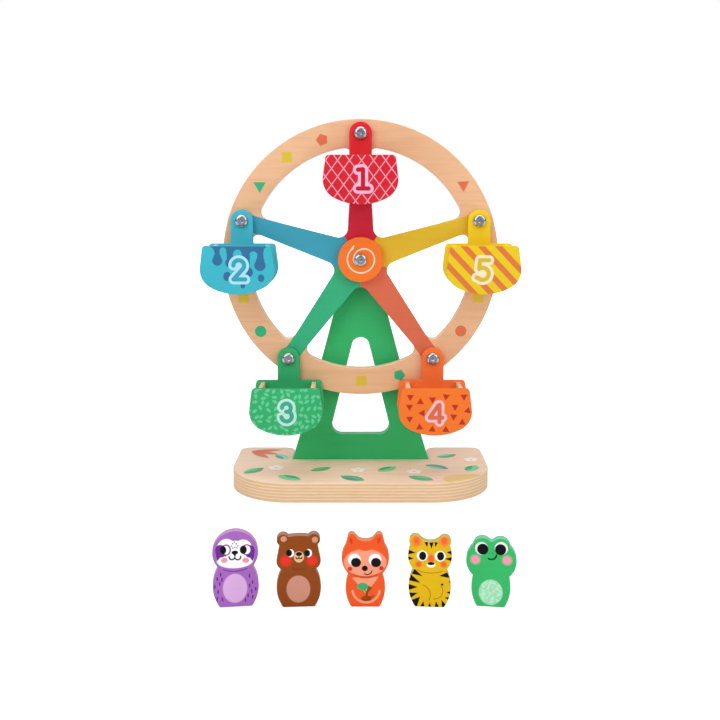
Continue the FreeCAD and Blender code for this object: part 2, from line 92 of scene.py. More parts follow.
PAINTS = {
    "white": shade(255, 255, 255),
    "black": shade(5, 4, 5),
    "red": shade(214, 35, 50),
    "deep red": shade(190, 26, 48),
    "pale pink": shade(253, 160, 178),
    "pink": shade(250, 182, 214),
    "rose": shade(252, 190, 198),
    "turquoise": shade(63, 184, 203),
    "blue": shade(60, 160, 186),
    "drip blue": shade(52, 110, 156),
    "ice": shade(168, 230, 246),
    "leaf green": shade(54, 174, 108),
    "light leaf": shade(105, 210, 150),
    "teal": shade(66, 166, 142),
    "mint": shade(158, 214, 200),
    "mint ring": shade(184, 234, 220),
    "orange": shade(248, 120, 44),
    # Lighter copies of the front paints for the backs and straps: painted light that makes up for the shade
    # they lie in behind the baskets.
    "strap lit red": shade(232, 40, 50),
    "strap lit turquoise": shade(68, 186, 210),
    "strap lit orange": shade(255, 118, 56),
    "strap lit yellow": shade(250, 210, 34),
    "brick": shade(194, 48, 34),
    "coral": shade(220, 108, 76),
    "yellow": shade(236, 202, 34),
    "stripe orange": shade(226, 120, 62),
    "ochre": shade(218, 186, 56),
    "cream": shade(255, 232, 196),
    "frame green": shade(58, 188, 112),
    # Paler green for the frame's sawn edges, a painted highlight of the light falling on them.
    "frame lit edge": shade(128, 206, 158),
    "spoke red": shade(208, 32, 58),
    "print yellow": shade(222, 192, 56),
    "print coral": shade(226, 116, 76),
    "print green": shade(54, 180, 126),
    "spoke green": shade(52, 176, 124),
    "spoke yellow": shade(224, 184, 44),
    "lilac": shade(166, 104, 188),
    "lilac lit edge": shade(194, 142, 198),
    "pale lilac": shade(220, 174, 226),
    "plum": shade(126, 62, 156),
    "deep plum": shade(114, 40, 148),
    "dusty pink": shade(238, 152, 172),
    "ash": shade(104, 96, 106),
    "brown": shade(142, 68, 16),
    "brown lit edge": shade(166, 120, 108),
    "dark brown": shade(90, 38, 22),
    "chin brown": shade(118, 50, 26),
    "tan": shade(204, 142, 120),
    "ear tan": shade(212, 146, 118),
    "biscuit": shade(232, 186, 140),
    "cheek red": shade(244, 44, 32),
    "cheek pink": shade(250, 150, 180),
    "fox orange": shade(240, 88, 34),
    "fox lit edge": shade(216, 138, 96),
    "fox red": shade(204, 54, 40),
    "ear red": shade(226, 54, 26),
    "salmon": shade(248, 156, 124),
    "rust": shade(206, 74, 34),
    "peach": shade(253, 206, 172),
    "gold": shade(228, 182, 14),
    "gold lit edge": shade(194, 178, 100),
    "dark gold": shade(176, 128, 22),
    "tiger orange": shade(238, 104, 42),
    "coral red": shade(248, 96, 56),
    "frog green": shade(54, 185, 102),
    "frog lit edge": shade(124, 200, 160),
    "moss": shade(34, 128, 66),
    "deep moss": shade(8, 62, 30),
    "pale mint": shade(158, 222, 182),
    "light mint": shade(206, 244, 220),
    "peach white": shade(255, 226, 206),
}

# Node building

# Nodes are laid out in rows of this many, this far apart.
NODES_IN_ROW = 12
NODE_STEP = (190, 260)


class Bench:
    """Lays out the nodes of one material or group and joins them up."""

    def __init__(self, tree):
        self.tree = tree
        self.count = 0

    def add(self, kind, **settings):
        made = self.tree.nodes.new(kind)
        row, column = divmod(self.count, NODES_IN_ROW)
        made.location = (column * NODE_STEP[0], -row * NODE_STEP[1])
        self.count += 1
        for name, value in settings.items():
            setattr(made, name, value)
        return made

    def feed(self, socket, value):
        if isinstance(value, bpy.types.NodeSocket):
            self.tree.links.new(value, socket)
        else:
            socket.default_value = value

    def sum(self, operation, *values, clamp=False):
        made = self.add("ShaderNodeMath", operation=operation, use_clamp=clamp)
        for socket, value in zip(made.inputs, values):
            self.feed(socket, value)
        return made.outputs[0]

    def vector(self, operation, *values):
        made = self.add("ShaderNodeVectorMath", operation=operation)
        for socket, value in zip(made.inputs, values):
            self.feed(socket, value)
        return made.outputs["Value" if operation in ("LENGTH", "DOT_PRODUCT") else "Vector"]

    def parts(self, vector):
        made = self.add("ShaderNodeSeparateXYZ")
        self.feed(made.inputs[0], vector)
        return made.outputs

    def join(self, across, deep, high):
        made = self.add("ShaderNodeCombineXYZ")
        for socket, value in zip(made.inputs, (across, deep, high)):
            self.feed(socket, value)
        return made.outputs[0]

    def coat(self, amount, under, over, mode="MIX"):
        """Lays one colour over another."""
        made = self.add("ShaderNodeMix", data_type="RGBA", blend_type=mode)
        self.feed(made.inputs[0], amount)
        self.feed(made.inputs[6], under)
        self.feed(made.inputs[7], over)
        return made.outputs[2]

    def rotate(self, vector, angle, axis="Y_AXIS"):
        made = self.add("ShaderNodeVectorRotate", rotation_type=axis)
        self.feed(made.inputs["Vector"], vector)
        self.feed(made.inputs["Angle"], angle)
        return made.outputs[0]

    def noise(self, place, scale, detail=2.0, roughness=0.5):
        made = self.add("ShaderNodeTexNoise")
        self.feed(made.inputs["Vector"], place)
        self.feed(made.inputs["Scale"], scale)
        self.feed(made.inputs["Detail"], detail)
        self.feed(made.inputs["Roughness"], roughness)
        return made.outputs["Fac"]

    def step(self, value, low, high, first=0.0, last=1.0):
        """Runs a value from first to last while it goes from low to high."""
        made = self.add("ShaderNodeMapRange", interpolation_type="SMOOTHSTEP")
        for socket, number in zip(made.inputs, (value, low, high, first, last)):
            self.feed(socket, number)
        return made.outputs[0]

    def use(self, group, **values):
        made = self.add("ShaderNodeGroup", node_tree=group)
        for name, value in values.items():
            self.feed(made.inputs[name], value)
        return made.outputs


def new_group(name, inputs, outputs):
    """Starts a node group; returns it with its bench, its inputs and its outputs."""
    group = bpy.data.node_groups.new(name, "ShaderNodeTree")
    kinds = {"number": "NodeSocketFloat", "colour": "NodeSocketColor", "vector": "NodeSocketVector"}
    for label, kind in inputs.items():
        group.interface.new_socket(label, in_out="INPUT", socket_type=kinds[kind])
    for label, kind in outputs.items():
        group.interface.new_socket(label, in_out="OUTPUT", socket_type=kinds[kind])
    bench = Bench(group)
    given = bench.add("NodeGroupInput").outputs
    taken = bench.add("NodeGroupOutput").inputs
    return group, bench, given, taken


def make_oval_print():
    """An oval spot of ink on the front, 1 inside and 0 outside."""
    group, bench, given, taken = new_group(
        "oval_print",
        {"Place": "vector", "Centre": "vector", "Reach": "vector", "Turn": "number", "Blur": "number"},
        {"Mask": "number"},
    )
    offset = bench.vector("SUBTRACT", given["Place"], given["Centre"])
    turned = bench.rotate(offset, given["Turn"])
    length = bench.vector("LENGTH", bench.vector("DIVIDE", turned, given["Reach"]))
    short = bench.sum("SUBTRACT", 1.0, given["Blur"])
    long = bench.sum("ADD", 1.0, given["Blur"])
    bench.feed(taken["Mask"], bench.step(length, short, long, 1.0, 0.0))
    return group


def measure_run(bench, given, clamp=False):
    """How far along the run from Start to End a point of the front is, 0 to 1, and how far beside it."""
    flat = bench.vector("MULTIPLY", given["Place"], (1, 0, 1))
    offset = bench.vector("SUBTRACT", flat, given["Start"])
    run = bench.vector("SUBTRACT", given["End"], given["Start"])
    square = bench.vector("DOT_PRODUCT", run, run)
    along = bench.sum("DIVIDE", bench.vector("DOT_PRODUCT", offset, run), square, clamp=clamp)
    nearest = bench.add("ShaderNodeVectorMath", operation="SCALE")
    bench.feed(nearest.inputs[0], run)
    bench.feed(nearest.inputs["Scale"], along)
    beside = bench.vector("LENGTH", bench.vector("SUBTRACT", offset, nearest.outputs[0]))
    return along, beside


def make_bar_reach():
    """Distance from a straight stroke between two points of the front."""
    group, bench, given, taken = new_group(
        "bar_reach",
        {"Place": "vector", "Start": "vector", "End": "vector"},
        {"Reach": "number"},
    )
    _, beside = measure_run(bench, given, clamp=True)
    bench.feed(taken["Reach"], beside)
    return group


def make_arc_reach():
    """Distance from a round stroke of the front; angles run from +X towards +Z."""
    group, bench, given, taken = new_group(
        "arc_reach",
        {
            "Place": "vector", "Centre": "vector", "Radius": "number", "Middle": "number",
            "Half Opening": "number",
        },
        {"Reach": "number"},
    )
    offset = bench.vector("SUBTRACT", given["Place"], given["Centre"])
    across, _, high = bench.parts(bench.rotate(offset, given["Middle"]))
    high = bench.sum("ABSOLUTE", high)
    angle = bench.sum("MINIMUM", bench.sum("ARCTAN2", high, across), given["Half Opening"])
    near_across = bench.sum("MULTIPLY", bench.sum("COSINE", angle), given["Radius"])
    near_high = bench.sum("MULTIPLY", bench.sum("SINE", angle), given["Radius"])
    gap_across = bench.sum("SUBTRACT", across, near_across)
    gap_high = bench.sum("SUBTRACT", high, near_high)
    bench.feed(taken["Reach"], bench.vector("LENGTH", bench.join(gap_across, 0.0, gap_high)))
    return group


def make_polygon_print():
    """A regular many-sided spot of ink on the front."""
    group, bench, given, taken = new_group(
        "polygon_print",
        {"Place": "vector", "Centre": "vector", "Reach": "number", "Sides": "number", "Turn": "number"},
        {"Mask": "number"},
    )
    across, _, high = bench.parts(bench.vector("SUBTRACT", given["Place"], given["Centre"]))
    angle = bench.sum("SUBTRACT", bench.sum("ARCTAN2", high, across), given["Turn"])
    wedge = bench.sum("DIVIDE", 2 * math.pi, given["Sides"])
    nearest = bench.sum("MULTIPLY", bench.sum("ROUND", bench.sum("DIVIDE", angle, wedge)), wedge)
    radius = bench.vector("LENGTH", bench.join(across, high, 0.0))
    reach = bench.sum("MULTIPLY", bench.sum("COSINE", bench.sum("SUBTRACT", nearest, angle)), radius)
    bench.feed(taken["Mask"], bench.sum("LESS_THAN", reach, given["Reach"]))
    return group


def make_wedge_print():
    """A spike of ink that runs from a broad end to a point."""
    group, bench, given, taken = new_group(
        "wedge_print",
        {"Place": "vector", "Start": "vector", "End": "vector", "Width": "number"},
        {"Mask": "number"},
    )
    along, beside = measure_run(bench, given)
    remaining = bench.sum("SUBTRACT", 1.0, along)
    half_width = bench.sum("MULTIPLY", remaining, bench.sum("MULTIPLY", given["Width"], 0.5))
    inside = bench.sum("LESS_THAN", beside, half_width)
    bench.feed(taken["Mask"], bench.sum("MULTIPLY", inside, bench.sum("GREATER_THAN", along, 0.0)))
    return group


def make_face_mask():
    """1 on the flat front (-Y) or, in its second output, on both broad faces."""
    group, bench, given, taken = new_group(
        "face_mask", {"Normal": "vector"}, {"Front": "number", "Both": "number"}
    )
    _, deep, _ = bench.parts(given["Normal"])
    bench.feed(taken["Front"], bench.sum("LESS_THAN", deep, -FLAT_FACE))
    bench.feed(taken["Both"], bench.sum("GREATER_THAN", bench.sum("ABSOLUTE", deep), FLAT_FACE))
    return group


def make_edge_sheen_and_wear():
    """A broken line along sharp edges, partly a painted highlight where light catches them and partly wear.
    """
    group, bench, given, taken = new_group(
        "edge_sheen_and_wear", {"Place": "vector", "Width": "number", "Breaks": "number"}, {"Mask": "number"}
    )
    soft = bench.add("ShaderNodeBevel", samples=4)
    bench.feed(soft.inputs["Radius"], given["Width"])
    sharp = bench.add("ShaderNodeNewGeometry").outputs["Normal"]
    bend = bench.sum("SUBTRACT", 1.0, bench.vector("DOT_PRODUCT", soft.outputs[0], sharp))
    edge = bench.step(bend, 0.02, 0.14)
    patches = bench.noise(given["Place"], scale=160.0, detail=3.0, roughness=0.6)
    limit = bench.sum("SUBTRACT", 1.02, given["Breaks"])
    unbroken = bench.step(patches, bench.sum("SUBTRACT", limit, 0.12), limit)
    bench.feed(taken["Mask"], bench.sum("MULTIPLY", edge, unbroken, clamp=True))
    return group


def make_wood_figure():
    """Faint long grain, short pores and broad clouds of peeled wood, along X."""
    group, bench, given, taken = new_group(
        "wood_figure",
        {"Place": "vector", "Light": "colour", "Dark": "colour", "Strength": "number"},
        {"Colour": "colour", "Height": "number", "Roughness": "number"},
    )
    place = given["Place"]
    drift = bench.noise(bench.vector("MULTIPLY", place, (0.5, 1, 1)), scale=22.0)
    bent = bench.vector("ADD", place, bench.join(0.0, 0.0, bench.sum("MULTIPLY", drift, 0.012)))
    lines = bench.noise(bench.vector("MULTIPLY", bent, (7, 60, 120)), scale=3.2, detail=3.0, roughness=0.6)
    pores = bench.noise(bench.vector("MULTIPLY", bent, (110, 600, 900)), scale=1.6, detail=1.0)
    clouds = bench.noise(bench.vector("MULTIPLY", place, (16, 20, 34)), scale=1.0)
    streak = bench.step(lines, 0.38, 0.68)
    pore = bench.sum("MULTIPLY", bench.step(pores, 0.64, 0.76), 0.35)
    cloud = bench.sum("MULTIPLY", bench.step(clouds, 0.3, 0.75), 0.5)
    total = bench.sum("ADD", bench.sum("MULTIPLY", streak, 0.55), bench.sum("ADD", pore, cloud))
    amount = bench.sum("MULTIPLY", total, given["Strength"], clamp=True)
    bench.feed(taken["Colour"], bench.coat(amount, given["Light"], given["Dark"]))
    hollow = bench.sum("ADD", pore, bench.sum("MULTIPLY", streak, 0.3))
    bench.feed(taken["Height"], bench.sum("SUBTRACT", 1.0, hollow))
    bench.feed(taken["Roughness"], bench.sum("ADD", 0.46, bench.sum("MULTIPLY", amount, 0.12)))
    return group


def make_ply_edge():
    """The light and dark layers that a plywood edge shows, across a depth from 0 to 1."""
    group, bench, given, taken = new_group(
        "ply_edge",
        {
            "Place": "vector", "Depth": "number", "Layers": "number", "Light": "colour", "Dark": "colour",
            "Glue": "colour",
        },
        {"Colour": "colour", "Height": "number"},
    )
    waver = bench.sum("SUBTRACT", bench.noise(given["Place"], scale=26.0), 0.5)
    depth = bench.sum("ADD", given["Depth"], bench.sum("MULTIPLY", waver, 0.03))
    layer = bench.sum("MULTIPLY", depth, given["Layers"])
    pair = bench.sum("FRACT", bench.sum("MULTIPLY", layer, 0.5))
    inner = bench.sum("MULTIPLY", bench.step(depth, 0.05, 0.08), bench.step(depth, 0.92, 0.95, 1.0, 0.0))
    dark = bench.sum("MULTIPLY", bench.step(pair, 0.40, 0.50), bench.step(pair, 0.92, 1.0, 1.0, 0.0))
    dark = bench.sum("MULTIPLY", dark, inner)
    line = bench.sum("ABSOLUTE", bench.sum("SUBTRACT", bench.sum("FRACT", layer), 0.5))
    glue = bench.sum("MULTIPLY", bench.step(line, 0.43, 0.5), inner)
    fibre = bench.noise(bench.vector("MULTIPLY", given["Place"], (900, 900, 900)), scale=1.0)
    flecks = bench.noise(bench.vector("MULTIPLY", given["Place"], (130, 130, 900)), scale=1.0)
    mottle = bench.sum("MULTIPLY", bench.step(flecks, 0.45, 0.75), 0.4)
    amount = bench.sum("ADD", bench.sum("MULTIPLY", dark, 0.85), mottle, clamp=True)
    wood = bench.coat(amount, given["Light"], given["Dark"])
    bench.feed(taken["Colour"], bench.coat(bench.sum("MULTIPLY", glue, 0.45), wood, given["Glue"]))
    bench.feed(taken["Height"], bench.sum("SUBTRACT", fibre, bench.sum("MULTIPLY", glue, 0.6)))
    return group


def make_paint_film():
    """A sprayed coat over wood: faint grain below, orange peel, soft clouds of gloss."""
    group, bench, given, taken = new_group(
        "paint_film",
        {"Place": "vector", "Colour": "colour"},
        {"Colour": "colour", "Height": "number", "Roughness": "number"},
    )
    place = given["Place"]
    grain = bench.noise(bench.vector("MULTIPLY", place, (9, 60, 150)), scale=3.0, detail=3.0, roughness=0.6)
    clouds = bench.noise(place, scale=34.0)
    peel = bench.noise(place, scale=900.0, detail=1.0)
    darker = bench.coat(1.0, given["Colour"], (0.80, 0.80, 0.82, 1), "MULTIPLY")
    shadow = bench.sum("MULTIPLY", bench.step(grain, 0.45, 0.8), 0.30)
    coated = bench.coat(shadow, given["Colour"], darker)
    gleam = bench.sum("MULTIPLY", clouds, 0.14)
    bench.feed(taken["Colour"], bench.coat(gleam, coated, (1, 1, 1, 1), "SOFT_LIGHT"))
    rise = bench.sum("ADD", bench.sum("MULTIPLY", grain, 0.7), bench.sum("MULTIPLY", peel, 0.3))
    bench.feed(taken["Height"], rise)
    bench.feed(taken["Roughness"], bench.step(clouds, 0.3, 0.7, 0.34, 0.44))
    return group


def make_plating_marks():
    """Smudges and fine turning marks of plated steel."""
    group, bench, given, taken = new_group(
        "plating_marks",
        {"Place": "vector", "Low": "number", "High": "number"},
        {"Roughness": "number", "Height": "number"},
    )
    smudge = bench.noise(given["Place"], scale=420.0, detail=3.0, roughness=0.6)
    fine = bench.noise(bench.vector("MULTIPLY", given["Place"], (1, 14, 1)), scale=1500.0, detail=1.0)
    bench.feed(taken["Roughness"], bench.step(smudge, 0.35, 0.7, given["Low"], given["High"]))
    bench.feed(taken["Height"], fine)
    return group


OVAL_PRINT = make_oval_print()
BAR_REACH = make_bar_reach()
ARC_REACH = make_arc_reach()
POLYGON_PRINT = make_polygon_print()
WEDGE_PRINT = make_wedge_print()
FACE_MASK = make_face_mask()
EDGE_SHEEN_AND_WEAR = make_edge_sheen_and_wear()
WOOD_FIGURE = make_wood_figure()
PLY_EDGE = make_ply_edge()
PAINT_FILM = make_paint_film()
PLATING_MARKS = make_plating_marks()

# Prints

# Reach of an oval print through the plate, which is far more than any thickness.
THROUGH = 1000.0


def front_point(across, high):
    return (across * MM, 0.0, high * MM)


class Finish:
    """One piece's material while prints are laid on it, the last one on top."""

    def __init__(self, name, centre=(0, 0, 0), turn=0.0, both_faces=False):
        self.material = bpy.data.materials.new(name)
        self.material.use_nodes = True
        tree = self.material.node_tree
        tree.nodes.clear()
        self.bench = Bench(tree)
        coordinates = self.bench.add("ShaderNodeTexCoord").outputs
        self.object_place = coordinates["Object"]
        self.normal = coordinates["Normal"]
        mapping = self.bench.add("ShaderNodeMapping", vector_type="TEXTURE")
        self.bench.feed(mapping.inputs["Vector"], self.object_place)
        mapping.inputs["Location"].default_value = centre
        mapping.inputs["Rotation"].default_value = (0, 0, turn)
        self.spot = mapping.outputs[0]
        faces = self.bench.use(FACE_MASK, Normal=self.normal)
        self.broad = faces["Both"]
        self.printed = faces["Both" if both_faces else "Front"]
        self.colour = None

    def lay(self, mask, ink, strength=1.0):
        """Prints an ink where the mask is 1, on the printed faces only."""
        mask = self.bench.sum("MULTIPLY", mask, self.printed)
        if strength != 1.0:
            mask = self.bench.sum("MULTIPLY", mask, strength)
        self.colour = self.bench.coat(mask, self.colour, PAINTS[ink])

    def oval(self, across, high, reach_across, reach_high, turn=0.0, blur=0.05):
        reach = (reach_across * MM, THROUGH, reach_high * MM)
        return self.bench.use(
            OVAL_PRINT, Place=self.spot, Centre=front_point(across, high), Reach=reach,
            Turn=math.radians(turn), Blur=blur,
        )["Mask"]

    def bar(self, start, end):
        return self.bench.use(
            BAR_REACH, Place=self.spot, Start=front_point(*start), End=front_point(*end)
        )["Reach"]

    def arc(self, centre, radius, first, last):
        """A round stroke from one angle to the other, in degrees from +X towards +Z."""
        middle, half_opening = (first + last) / 2, abs(last - first) / 2
        return self.bench.use(
            ARC_REACH, Place=self.spot, Centre=front_point(*centre), Radius=radius * MM,
            Middle=math.radians(middle), **{"Half Opening": math.radians(half_opening)},
        )["Reach"]

    def polygon(self, across, high, reach, sides, turn):
        return self.bench.use(
            POLYGON_PRINT, Place=self.spot, Centre=front_point(across, high), Reach=reach * MM,
            Sides=float(sides), Turn=math.radians(turn),
        )["Mask"]

    def wedge(self, start, end, width):
        return self.bench.use(
            WEDGE_PRINT, Place=self.spot, Start=front_point(*start), End=front_point(*end), Width=width * MM
        )["Mask"]

    def stroke(self, reaches, width):
        """The ink of strokes of one width, from their distances."""
        nearest = reaches[0]
        for reach in reaches[1:]:
            nearest = self.bench.sum("MINIMUM", nearest, reach)
        return self.bench.sum("LESS_THAN", nearest, width / 2 * MM)

    def finish(self, roughness, height, bump, coat=0.0, gloss=0.2, metallic=0.0):
        bench = self.bench
        shader = bench.add("ShaderNodeBsdfPrincipled")
        bench.feed(shader.inputs["Base Color"], self.colour)
        bench.feed(shader.inputs["Roughness"], roughness)
        shader.inputs["Metallic"].default_value = metallic
        shader.inputs["Specular IOR Level"].default_value = gloss
        shader.inputs["Coat Weight"].default_value = coat
        shader.inputs["Coat Roughness"].default_value = 0.22
        raised = bench.add("ShaderNodeBump")
        raised.inputs["Strength"].default_value = bump
        raised.inputs["Distance"].default_value = 0.2 * MM
        bench.feed(raised.inputs["Height"], height)
        bench.feed(shader.inputs["Normal"], raised.outputs[0])
        output = bench.add("ShaderNodeOutputMaterial")
        bench.feed(output.inputs["Surface"], shader.outputs[0])
        return self.material


def finish_paint(finish):
    """The film, its paler edges (a painted highlight broken up like wear) and its satin gloss, once all
    prints are laid.
    """
    bench = finish.bench
    film = bench.use(PAINT_FILM, Place=finish.object_place, Colour=finish.colour)
    sheen_and_wear = bench.use(EDGE_SHEEN_AND_WEAR, Place=finish.object_place, Width=0.7 * MM, Breaks=0.40)["Mask"]
    # Cream along the sharp edges: partly a painted highlight, partly wear.
    finish.colour = bench.coat(bench.sum("MULTIPLY", sheen_and_wear, 0.35), film["Colour"], PAINTS["cream"])
    return finish.finish(film["Roughness"], film["Height"], bump=0.12, coat=0.03, gloss=0.13)


def plain_paint(name, colour, lit_edge_colour=None):
    finish = Finish(name)
    finish.colour = PAINTS[colour]
    # A paler paint on the sawn edges, where one is given, is a painted highlight of the light falling on
    # them.
    if lit_edge_colour:
        finish.colour = finish.bench.coat(finish.broad, PAINTS[lit_edge_colour], finish.colour)
    return finish_paint(finish)


# Numerals: straight strokes as point pairs, round ones as centre, radius and angles, in mm from the pivot.
NUMERALS = {
    1: ([((-1.8, -27.0), (1.5, -26.7)), ((1.7, -26.8), (1.7, -39.9)), ((-1.9, -40.0), (5.6, -40.0))], []),
    2: ([((4.1, -33.0), (-2.5, -40.3)), ((-2.5, -40.3), (5.7, -40.3))], [((1.3, -30.5), 3.8, -42, 178)]),
    3: ([((0.4, -33.3), (1.8, -33.3))], [((0.55, -30.4), 3.15, -70, 180), ((0.65, -36.7), 3.75, -172, 72)]),
    4: ([((2.1, -28.4), (-4.1, -37.7)), ((-4.1, -37.7), (4.9, -37.7)), ((2.9, -28.4), (2.9, -40.8))], []),
    5: (
        [((-3.1, -26.7), (3.4, -26.7)), ((-3.1, -26.7), (-3.6, -32.9)), ((-4.1, -39.4), (-5.4, -38.9))],
        [((-1.05, -36.4), 4.3, -135, 125)],
    ),
}
# Widths of a numeral's stroke and of the ring that shows around it, in mm.
STROKE = 3.0
RING = 2.05


def lay_numeral(finish, number, ink, ring_ink):
    bars, arcs = NUMERALS[number]
    reaches = [finish.bar(start, end) for start, end in bars]
    reaches += [finish.arc(centre, radius, first, last) for centre, radius, first, last in arcs]
    finish.lay(finish.stroke(reaches, STROKE + 2 * RING), ring_ink)
    for centre, radius, _, _ in arcs:
        finish.lay(finish.oval(*centre, radius - STROKE / 2, radius - STROKE / 2), ring_ink)
    finish.lay(finish.stroke(reaches, STROKE), ink)


def lattice_panel(finish):
    """Pale crossed lines that make tall diamonds."""
    bench = finish.bench
    diamond_width, diamond_height, line_share = 8.4 * MM, 11.2 * MM, 0.052
    crossing = (0.7 * MM, -20.5 * MM)
    across, _, high = bench.parts(finish.spot)
    wide = bench.sum("DIVIDE", bench.sum("SUBTRACT", across, crossing[0]), diamond_width)
    tall = bench.sum("DIVIDE", bench.sum("SUBTRACT", high, crossing[1]), diamond_height)
    lines = []
    for operation in ("ADD", "SUBTRACT"):
        slant = bench.sum("ADD", bench.sum(operation, wide, tall), 0.5)
        gap = bench.sum("ABSOLUTE", bench.sum("SUBTRACT", bench.sum("FRACT", slant), 0.5))
        lines.append(bench.sum("LESS_THAN", gap, line_share))
    finish.lay(bench.sum("MAXIMUM", *lines), "pale pink")


# The blue drips, in mm from the pivot: the low end of the top band, then each neck's place across, low end
# and width, the ovals with their reaches, and a slot as a start, an end and a width.
DRIP_BAND_LOW = -22.0
DRIP_NECKS = [
    (-13.8, -26.0, 3.7), (-4.8, -28.0, 4.6), (6.2, -26.5, 5.6), (7.2, -33.5, 4.2), (16.7, -28.0, 4.4),
]
DRIP_DROPS = [
    (-13.8, -25.0, 2.7, 3.2), (-13.8, -27.0, 3.55, 3.6), (-5.0, -28.6, 3.2, 3.2), (7.9, -35.2, 3.4, 3.5),
    (16.5, -27.6, 3.1, 3.6), (16.3, -30.4, 4.0, 4.0), (-7.0, -38.2, 2.8, 3.3), (17.0, -39.4, 2.3, 2.7),
    (4.0, -44.9, 1.7, 1.7),
]
DRIP_GAPS = [
    (-20.6, -22.2, 5.0, 5.6), (23.6, -22.0, 4.8, 5.8), (-9.7, -20.7, 2.45, 3.1), (0.5, -22.3, 2.95, 3.1),
    (11.7, -23.2, 2.75, 2.7),
]
DRIP_SLOT = ((-9.4, -21.5), (-8.6, -27.0), 3.4)


def drip_panel(finish):
    """Drips that hang from a dark top band, with drops below them."""
    bench = finish.bench
    _, _, high = bench.parts(finish.spot)
    finish.lay(bench.sum("GREATER_THAN", high, DRIP_BAND_LOW * MM), "drip blue")
    for gap in DRIP_GAPS:
        finish.lay(finish.oval(*gap), "turquoise")
    slot_start, slot_end, slot_width = DRIP_SLOT
    finish.lay(finish.stroke([finish.bar(slot_start, slot_end)], slot_width), "turquoise")
    for across, low, width in DRIP_NECKS:
        neck = finish.bar((across, DRIP_BAND_LOW + 1 - width / 2), (across, low))
        finish.lay(finish.stroke([neck], width), "drip blue")
    for drop in DRIP_DROPS:
        finish.lay(finish.oval(*drop), "drip blue")


def leaf_panel(finish):
    """Small lens-shaped leaves, one in each cell, turned every way; sizes in mm."""
    bench = finish.bench
    cell_size, half_length, half_width = 4.7, 2.35, 1.25
    across, _, high = bench.parts(finish.spot)
    flat = bench.join(across, high, 0.0)
    cells = bench.add("ShaderNodeTexVoronoi", voronoi_dimensions="2D", feature="F1")
    bench.feed(cells.inputs["Vector"], flat)
    cells.inputs["Scale"].default_value = 1 / (cell_size * MM)
    cells.inputs["Randomness"].default_value = 0.62
    offset = bench.vector("SUBTRACT", flat, cells.outputs["Position"])
    scaled = bench.vector("DIVIDE", offset, (MM, MM, MM))
    turn = bench.sum("MULTIPLY", bench.parts(cells.outputs["Color"])[0], 2 * math.pi)
    along, aside, _ = bench.parts(bench.rotate(scaled, turn, "Z_AXIS"))
    lens = bench.sum(
        "ADD", bench.sum("POWER", bench.sum("DIVIDE", along, half_length), 2.0),
        bench.sum("DIVIDE", bench.sum("ABSOLUTE", aside), half_width),
    )
    finish.lay(bench.step(lens, 0.7, 1.1, 1.0, 0.0), "light leaf", 0.82)


# Triangles of the orange panel: place in mm from the pivot and the way each points, in degrees.
TRIANGLE_REACH = 1.5
TRIANGLES = [
    (-18.3, -22.4, 270), (-11.0, -26.1, 90), (-2.3, -24.2, 270), (7.5, -22.1, 262), (20.4, -22.2, 272),
    (-18.8, -29.7, 270), (14.1, -29.7, 270), (23.4, -32.5, 80), (-9.4, -34.3, 180), (13.1, -36.9, 265),
    (-18.6, -38.5, 270), (19.4, -41.3, 88), (-11.4, -44.8, 92), (-2.2, -46.4, 85), (7.6, -46.7, 90),
]


def triangle_panel(finish):
    for across, high, point in TRIANGLES:
        finish.lay(finish.polygon(across, high, TRIANGLE_REACH, 3, point + 180), "brick")


def stripe_panel(finish):
    """Broad slanting stripes, with none in the upper right corner."""
    bench = finish.bench
    stripe_step, stripe_share, slope = 12.1 * MM, 0.45, 0.95
    first_stripe, end_of_stripes = -21.0 * MM, 2.0 * MM
    across, _, high = bench.parts(finish.spot)
    slant = bench.sum("ADD", across, bench.sum("MULTIPLY", high, slope))
    band = bench.sum("FRACT", bench.sum("DIVIDE", bench.sum("SUBTRACT", slant, first_stripe), stripe_step))
    printed = bench.sum("LESS_THAN", slant, end_of_stripes)
    finish.lay(bench.sum("MULTIPLY", bench.sum("LESS_THAN", band, stripe_share), printed), "stripe orange")


# Each gondola's front paint, front pattern, numeral, ring of the numeral, and paint of the back and strap,
# which except on gondola 3 is a lighter copy of the front paint, painted light that stands in for the
# direct light on the strap.
GONDOLAS = {
    1: ("red", lattice_panel, "deep red", "pink", "strap lit red"),
    2: ("turquoise", drip_panel, "blue", "ice", "strap lit turquoise"),
    3: ("leaf green", leaf_panel, "teal", "mint ring", "leaf green"),
    4: ("orange", triangle_panel, "coral", "rose", "strap lit orange"),
    5: ("yellow", stripe_panel, "ochre", "cream", "strap lit yellow"),
}


def printed_panel(number):
    colour, pattern, ink, ring_ink, _ = GONDOLAS[number]
    finish = Finish(f"panel_{number}_print", centre=PIVOTS[number - 1])
    finish.colour = PAINTS[colour]
    pattern(finish)
    lay_numeral(finish, number, ink, ring_ink)
    return finish_paint(finish)


# Riders, in mm: each one's place across, the row's place along Y, and how far in front of the row the
# point lies that all of them are turned to.
RIDER_PLACES = {"sloth": -67.9, "bear": -33.6, "fox": 2.6, "tiger": 37.6, "frog": 70.9}
RIDER_ROW = -217
RIDER_VIEW = 493
# Paint of the broad faces and of the sawn edge, which is painted paler as a painted highlight of the light
# from above.
RIDER_PAINTS = {
    "sloth": ("lilac", "lilac lit edge"), "bear": ("brown", "brown lit edge"), "fox": ("fox orange", "fox lit edge"),
    "tiger": ("gold", "gold lit edge"), "frog": ("frog green", "frog lit edge"),
}
